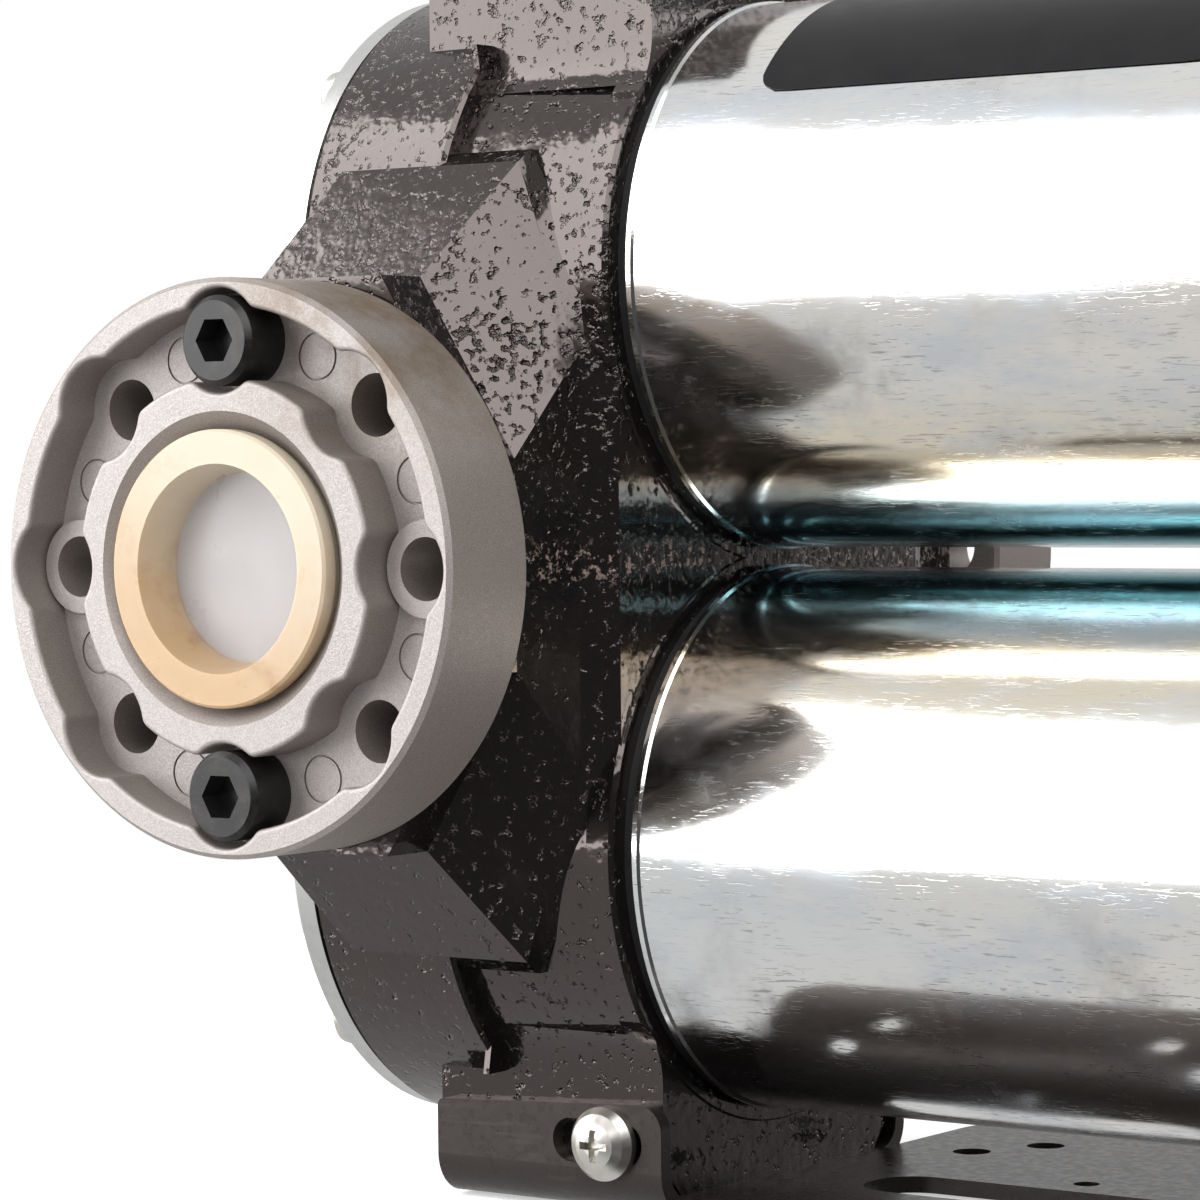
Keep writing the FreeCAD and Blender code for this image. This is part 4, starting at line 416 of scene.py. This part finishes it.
def make_plug_nylon():
    """Moulded nylon: an unevenly toned cream to amber lip and wall, darkened to amber towards the
    lower left by painted shade, and a milky floor.
    """
    material, tree, shader = new_material(
        "plug_nylon", Subsurface_Weight=0.30, Subsurface_Scale=0.003,
        Subsurface_Radius=(1.0, 0.7, 0.45))
    parts = tree.parts(tree.place())
    across = tree.math("SUBTRACT", parts[0], port_x)
    height = tree.math("SUBTRACT", parts[2], port_z)
    squared = tree.math("ADD", tree.math("MULTIPLY", across, across),
                        tree.math("MULTIPLY", height, height))
    lip = tree.ramp(tree.math("SQRT", squared), (13.0 * MM, 14.2 * MM, 0.0, 1.0))
    tone = tree.noise(tree.place(), 130.0, detail=4.0)
    # Painted shade: the lip and wall darken to amber towards the lower left; random tone noise is
    # mixed in, and the dirt follows the same mask.
    upper_right = tree.math("ADD", tree.math("MULTIPLY", height, 26.0),
                            tree.math("MULTIPLY", across, 9.0))
    tone_and_shade_field = tree.math("ADD", upper_right, tree.math("MULTIPLY", tone, 0.8))
    amber_and_shade = tree.ramp(tone_and_shade_field, (-0.05, 0.85, 1.0, 0.0))
    straw = tree.mix(amber_and_shade, rgb(0.51, 0.445, 0.345), rgb(0.43, 0.29, 0.16))
    dirt = use_group(tree, GRIME, Patch_size=150.0, Low=0.50, High=0.78)
    soiled = tree.mix(tree.math("MULTIPLY", dirt.outputs[0], amber_and_shade), straw, rgb(0.30, 0.17, 0.08))
    tree.feed(shader, "Base Color", tree.mix(lip, rgb(0.38, 0.36, 0.36), soiled))
    tree.feed(shader, "Roughness", tree.ramp(tone, (0.3, 0.7, 0.26, 0.40)))
    bump(tree, shader, tone, 0.08, 0.4 * MM)
    return material


def make_moulded(name, color, other, rough):
    """Rubber or moulded plastic with a faint grain."""
    rougher = rough + 0.12
    material, tree, shader = new_material(name)
    tone = tree.noise(tree.place(), 300.0, detail=4.0)
    tree.feed(shader, "Base Color", tree.mix(tone, color, other))
    tree.feed(shader, "Roughness", tree.ramp(tone, (0.3, 0.7, rough, rougher)))
    bump(tree, shader, tone, 0.15)
    return material


def make_label_film():
    """The bare black film of the label."""
    material, tree, shader = new_material("label_film", Specular_IOR_Level=0.08)
    tone = tree.noise(tree.place(), 160.0, detail=3.0)
    black = tree.mix(tone, rgb(0.010, 0.010, 0.011), rgb(0.018, 0.018, 0.019))
    tree.feed(shader, "Base Color", black)
    tree.feed(shader, "Roughness", tree.ramp(tone, (0.3, 0.7, 0.28, 0.36)))
    bump(tree, shader, tone, 0.04)
    return material


finishes = {
    "black_casting": make_casting_paint(),
    "flange_alloy": make_flange_alloy(),
    "cap_nylon": make_plug_nylon(),
    "black_sheet": make_sheet_paint(),
    "black_bell": make_moulded("bell_paint", rgb(0.010, 0.010, 0.010),
                               rgb(0.016, 0.016, 0.016), 0.28),
    "zinc_screws": make_plated("screw_zinc", rgb(0.72, 0.70, 0.66),
                               rgb(0.46, 0.43, 0.37), 0.30, 0.46),
    "steel_screws": make_black_oxide(),
    "zinc_tube": make_tube_zinc(),
    "cover_alloy": make_plated("cover_face", rgb(0.66, 0.66, 0.65),
                               rgb(0.56, 0.56, 0.55), 0.30, 0.40, 2400.0),
    "black_rubber": make_moulded("ring_rubber", rgb(0.012, 0.012, 0.012),
                                 rgb(0.022, 0.022, 0.022), 0.42),
    "vane_plastic": make_moulded("vane_acetal", rgb(0.06, 0.05, 0.045),
                                 rgb(0.09, 0.08, 0.07), 0.38),
    "rotor_steel": make_plated("rotor_sinter", rgb(0.42, 0.42, 0.42),
                               rgb(0.30, 0.29, 0.28), 0.38, 0.55),
    "bearing_steel": make_plated("ground_steel", rgb(0.66, 0.66, 0.65),
                                 rgb(0.48, 0.47, 0.45), 0.16, 0.30),
    "core_steel": make_plated("core_sheets", rgb(0.32, 0.32, 0.33),
                              rgb(0.20, 0.20, 0.20), 0.40, 0.60),
    "copper": make_plated("enamelled_copper", rgb(0.72, 0.32, 0.16),
                          rgb(0.50, 0.20, 0.10), 0.24, 0.42),
    "magnet_ferrite": make_moulded("ferrite", rgb(0.07, 0.07, 0.075), rgb(0.11, 0.11, 0.11), 0.55),
    "plate_plastic": make_moulded("phenolic", rgb(0.12, 0.08, 0.05), rgb(0.17, 0.12, 0.08), 0.40),
    "carbon": make_moulded("pressed_carbon", rgb(0.025, 0.025, 0.025), rgb(0.05, 0.05, 0.05), 0.50),
    "strainer_sheet": make_plated("strainer_steel", rgb(0.66, 0.66, 0.65),
                                  rgb(0.50, 0.49, 0.47), 0.22, 0.40),
    "valve_steel": make_plated("valve_steel", rgb(0.60, 0.60, 0.59),
                               rgb(0.44, 0.43, 0.41), 0.18, 0.34),
}


def finish_nodes():
    """Gives every CAD node the finish of its slot."""
    for entry in frame["record"]["subparts"]:
        node = frame["nodes"][entry["node"]]
        node.data.materials.clear()
        node.data.materials.append(finishes[entry["material_slot"]])


def make_relief_spring():
    """The bypass spring, which in the pump closes up as its poppet lifts, here a welded,
    smooth-shaded copy fixed to the housing.
    """
    spring = copy_node("bypass_spring", "relief_spring")
    smooth_shaded(spring)
    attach(spring, "housing")
    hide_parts("bypass_spring")
    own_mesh(spring)


def make_label():
    """A bare black label round the top of the upper motor tube."""
    start_x, length = tube_front + 17.5 * MM, 75.0 * MM
    low_angle, high_angle = math.radians(37.0), math.radians(143.0)
    corner, lift, film = 4.0 * MM, 0.12 * MM, 0.1 * MM
    arc = tube_radius * (high_angle - low_angle)
    radius = tube_radius + lift
    inner_x, inner_y = length / 2 - corner, arc / 2 - corner
    deselect()
    bpy.ops.mesh.primitive_grid_add(x_subdivisions=24, y_subdivisions=48, size=1.0)
    label = bpy.context.object
    label.name = "rating_label"
    label.scale = (length, arc, 1.0)
    settle(label)
    for vertex in label.data.vertices:
        x, y = vertex.co.x, vertex.co.y
        out_x, out_y = abs(x) - inner_x, abs(y) - inner_y
        if out_x > 0 and out_y > 0 and math.hypot(out_x, out_y) > corner:
            pull = corner / math.hypot(out_x, out_y)
            vertex.co.x = math.copysign(inner_x + out_x * pull, x)
            vertex.co.y = math.copysign(inner_y + out_y * pull, y)
    for vertex in label.data.vertices:
        angle = math.pi / 2 + vertex.co.y / tube_radius
        vertex.co = Vector((start_x + length / 2 + vertex.co.x, -radius * math.cos(angle),
                            tube_z + radius * math.sin(angle)))
    thick = label.modifiers.new("film", "SOLIDIFY")
    thick.thickness = film
    thick.offset = 1.0
    apply_modifiers(label)
    smooth_shaded(label, 50)
    label.data.materials.append(make_label_film())
    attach(label, "housing")


def make_floor():
    """A white floor, left out of reflections, that still takes the pump's shadow."""
    floor_radius, floor_level = 0.42, -0.4 * MM
    glow = 0.48
    deselect()
    bpy.ops.mesh.primitive_circle_add(vertices=96, radius=floor_radius, fill_type="NGON",
                                      location=(0.0, 0.0, floor_level))
    floor = bpy.context.object
    floor.name = "studio_floor"
    material, tree, shader = new_material(
        "studio_floor", Roughness=0.9, Specular_IOR_Level=0.1, Base_Color=rgb(0.80, 0.80, 0.80),
        Emission_Color=rgb(1.0, 1.0, 1.0))
    seen = tree.add("ShaderNodeLightPath").outputs["Is Camera Ray"]
    tree.feed(shader, "Emission Strength", tree.math("MULTIPLY", seen, glow))
    floor.data.materials.append(material)
    floor.visible_glossy = False


def make_surround():
    """White to the camera; in the gloss pale at the left and above, dark at the lower right."""
    right_front_x, right_front_y = 0.94, 0.34
    world = bpy.data.worlds.new("studio")
    bpy.context.scene.world = world
    world.use_nodes = True
    tree = Tree(world.node_tree)
    ray = tree.add("ShaderNodeLightPath").outputs
    heading_x, heading_y, level = tree.parts(
        tree.add("ShaderNodeTexCoord").outputs["Generated"])
    rightward = tree.math("SUBTRACT", tree.math("MULTIPLY", heading_x, right_front_x),
                          tree.math("MULTIPLY", heading_y, right_front_y))
    lower = tree.ramp(rightward, (0.10, 0.30, 0.66, 0.07))
    upper = tree.ramp(rightward, (0.10, 0.50, 0.80, 0.45))
    raised = tree.ramp(level, (0.20, 0.70, 0.0, 1.0))
    glossy = tree.math("ADD", tree.math("MULTIPLY", lower, tree.math("SUBTRACT", 1.0, raised)),
                       tree.math("MULTIPLY", upper, raised))
    soft = tree.ramp(level, (-0.3, 0.9, 0.30, 0.75))
    gloss = ray["Is Glossy Ray"]
    strength = tree.math("ADD", tree.math("MULTIPLY", glossy, gloss),
                         tree.math("MULTIPLY", soft, tree.math("SUBTRACT", 1.0, gloss)))
    lit = tree.nodes["Background"]
    tree.feed(lit, "Strength", strength)
    tree.feed(lit, "Color", rgb(1.0, 1.0, 1.0))
    shown = tree.add("ShaderNodeBackground", Color=rgb(1.0, 1.0, 1.0), Strength=1.0)
    seen = tree.math("MAXIMUM", ray["Is Camera Ray"], ray["Is Transmission Ray"])
    either = tree.add("ShaderNodeMixShader")
    tree.links.new(seen, either.inputs[0])
    tree.links.new(lit.outputs[0], either.inputs[1])
    tree.links.new(shown.outputs[0], either.inputs[2])
    tree.links.new(either.outputs[0], tree.nodes["World Output"].inputs["Surface"])


def add_lamp(name, place, target, size, power):
    """A softbox that faces a point of the pump."""
    lamp = bpy.data.lights.new(name, "AREA")
    lamp.shape = "RECTANGLE"
    lamp.size, lamp.size_y = size
    lamp.energy = power
    holder = bpy.data.objects.new(name, lamp)
    bpy.context.collection.objects.link(holder)
    holder.location = place
    holder.rotation_euler = (Vector(target) - Vector(place)).to_track_quat("-Z", "Y").to_euler()


def add_lamps():
    """A softbox at the left front, one above the camera, and a dimmer one behind."""
    add_lamp("left_box", (-0.68, -0.52, 0.48), (-0.04, -0.04, 0.48), (1.12, 0.96), 14.0)
    add_lamp("camera_box", (0.445, -0.635, 0.756), (-0.02, -0.04, 0.10), (0.75, 0.87), 7.2)
    add_lamp("rear_box", (0.75, 0.85, 0.72), (0.0, 0.0, 0.10), (1.0, 0.7), 6.0)


def add_camera():
    """Stands the camera where the photographer stood."""
    nearest_seen = 0.01
    right = Vector((math.cos(camera_turn), math.sin(camera_turn), 0.0))
    back = Vector((math.sin(camera_turn) * math.cos(camera_drop),
                   -math.cos(camera_turn) * math.cos(camera_drop), math.sin(camera_drop)))
    up = back.cross(right)
    turned_right = right * math.cos(camera_roll) + up * math.sin(camera_roll)
    turned_up = up * math.cos(camera_roll) - right * math.sin(camera_roll)
    lens = bpy.data.cameras.new("portrait")
    lens.sensor_width = sensor_width
    lens.lens = focal_pixels * sensor_width / photo_width
    lens.clip_start = nearest_seen
    camera = bpy.data.objects.new("portrait", lens)
    bpy.context.collection.objects.link(camera)
    turn = Matrix((turned_right, turned_up, back)).transposed()
    camera.matrix_world = Matrix.Translation(camera_place) @ turn.to_4x4()
    bpy.context.scene.camera = camera


finish_nodes()
make_relief_spring()
make_label()
make_floor()
make_surround()
add_lamps()
add_camera()
bpy.context.scene.view_settings.view_transform = "Standard"
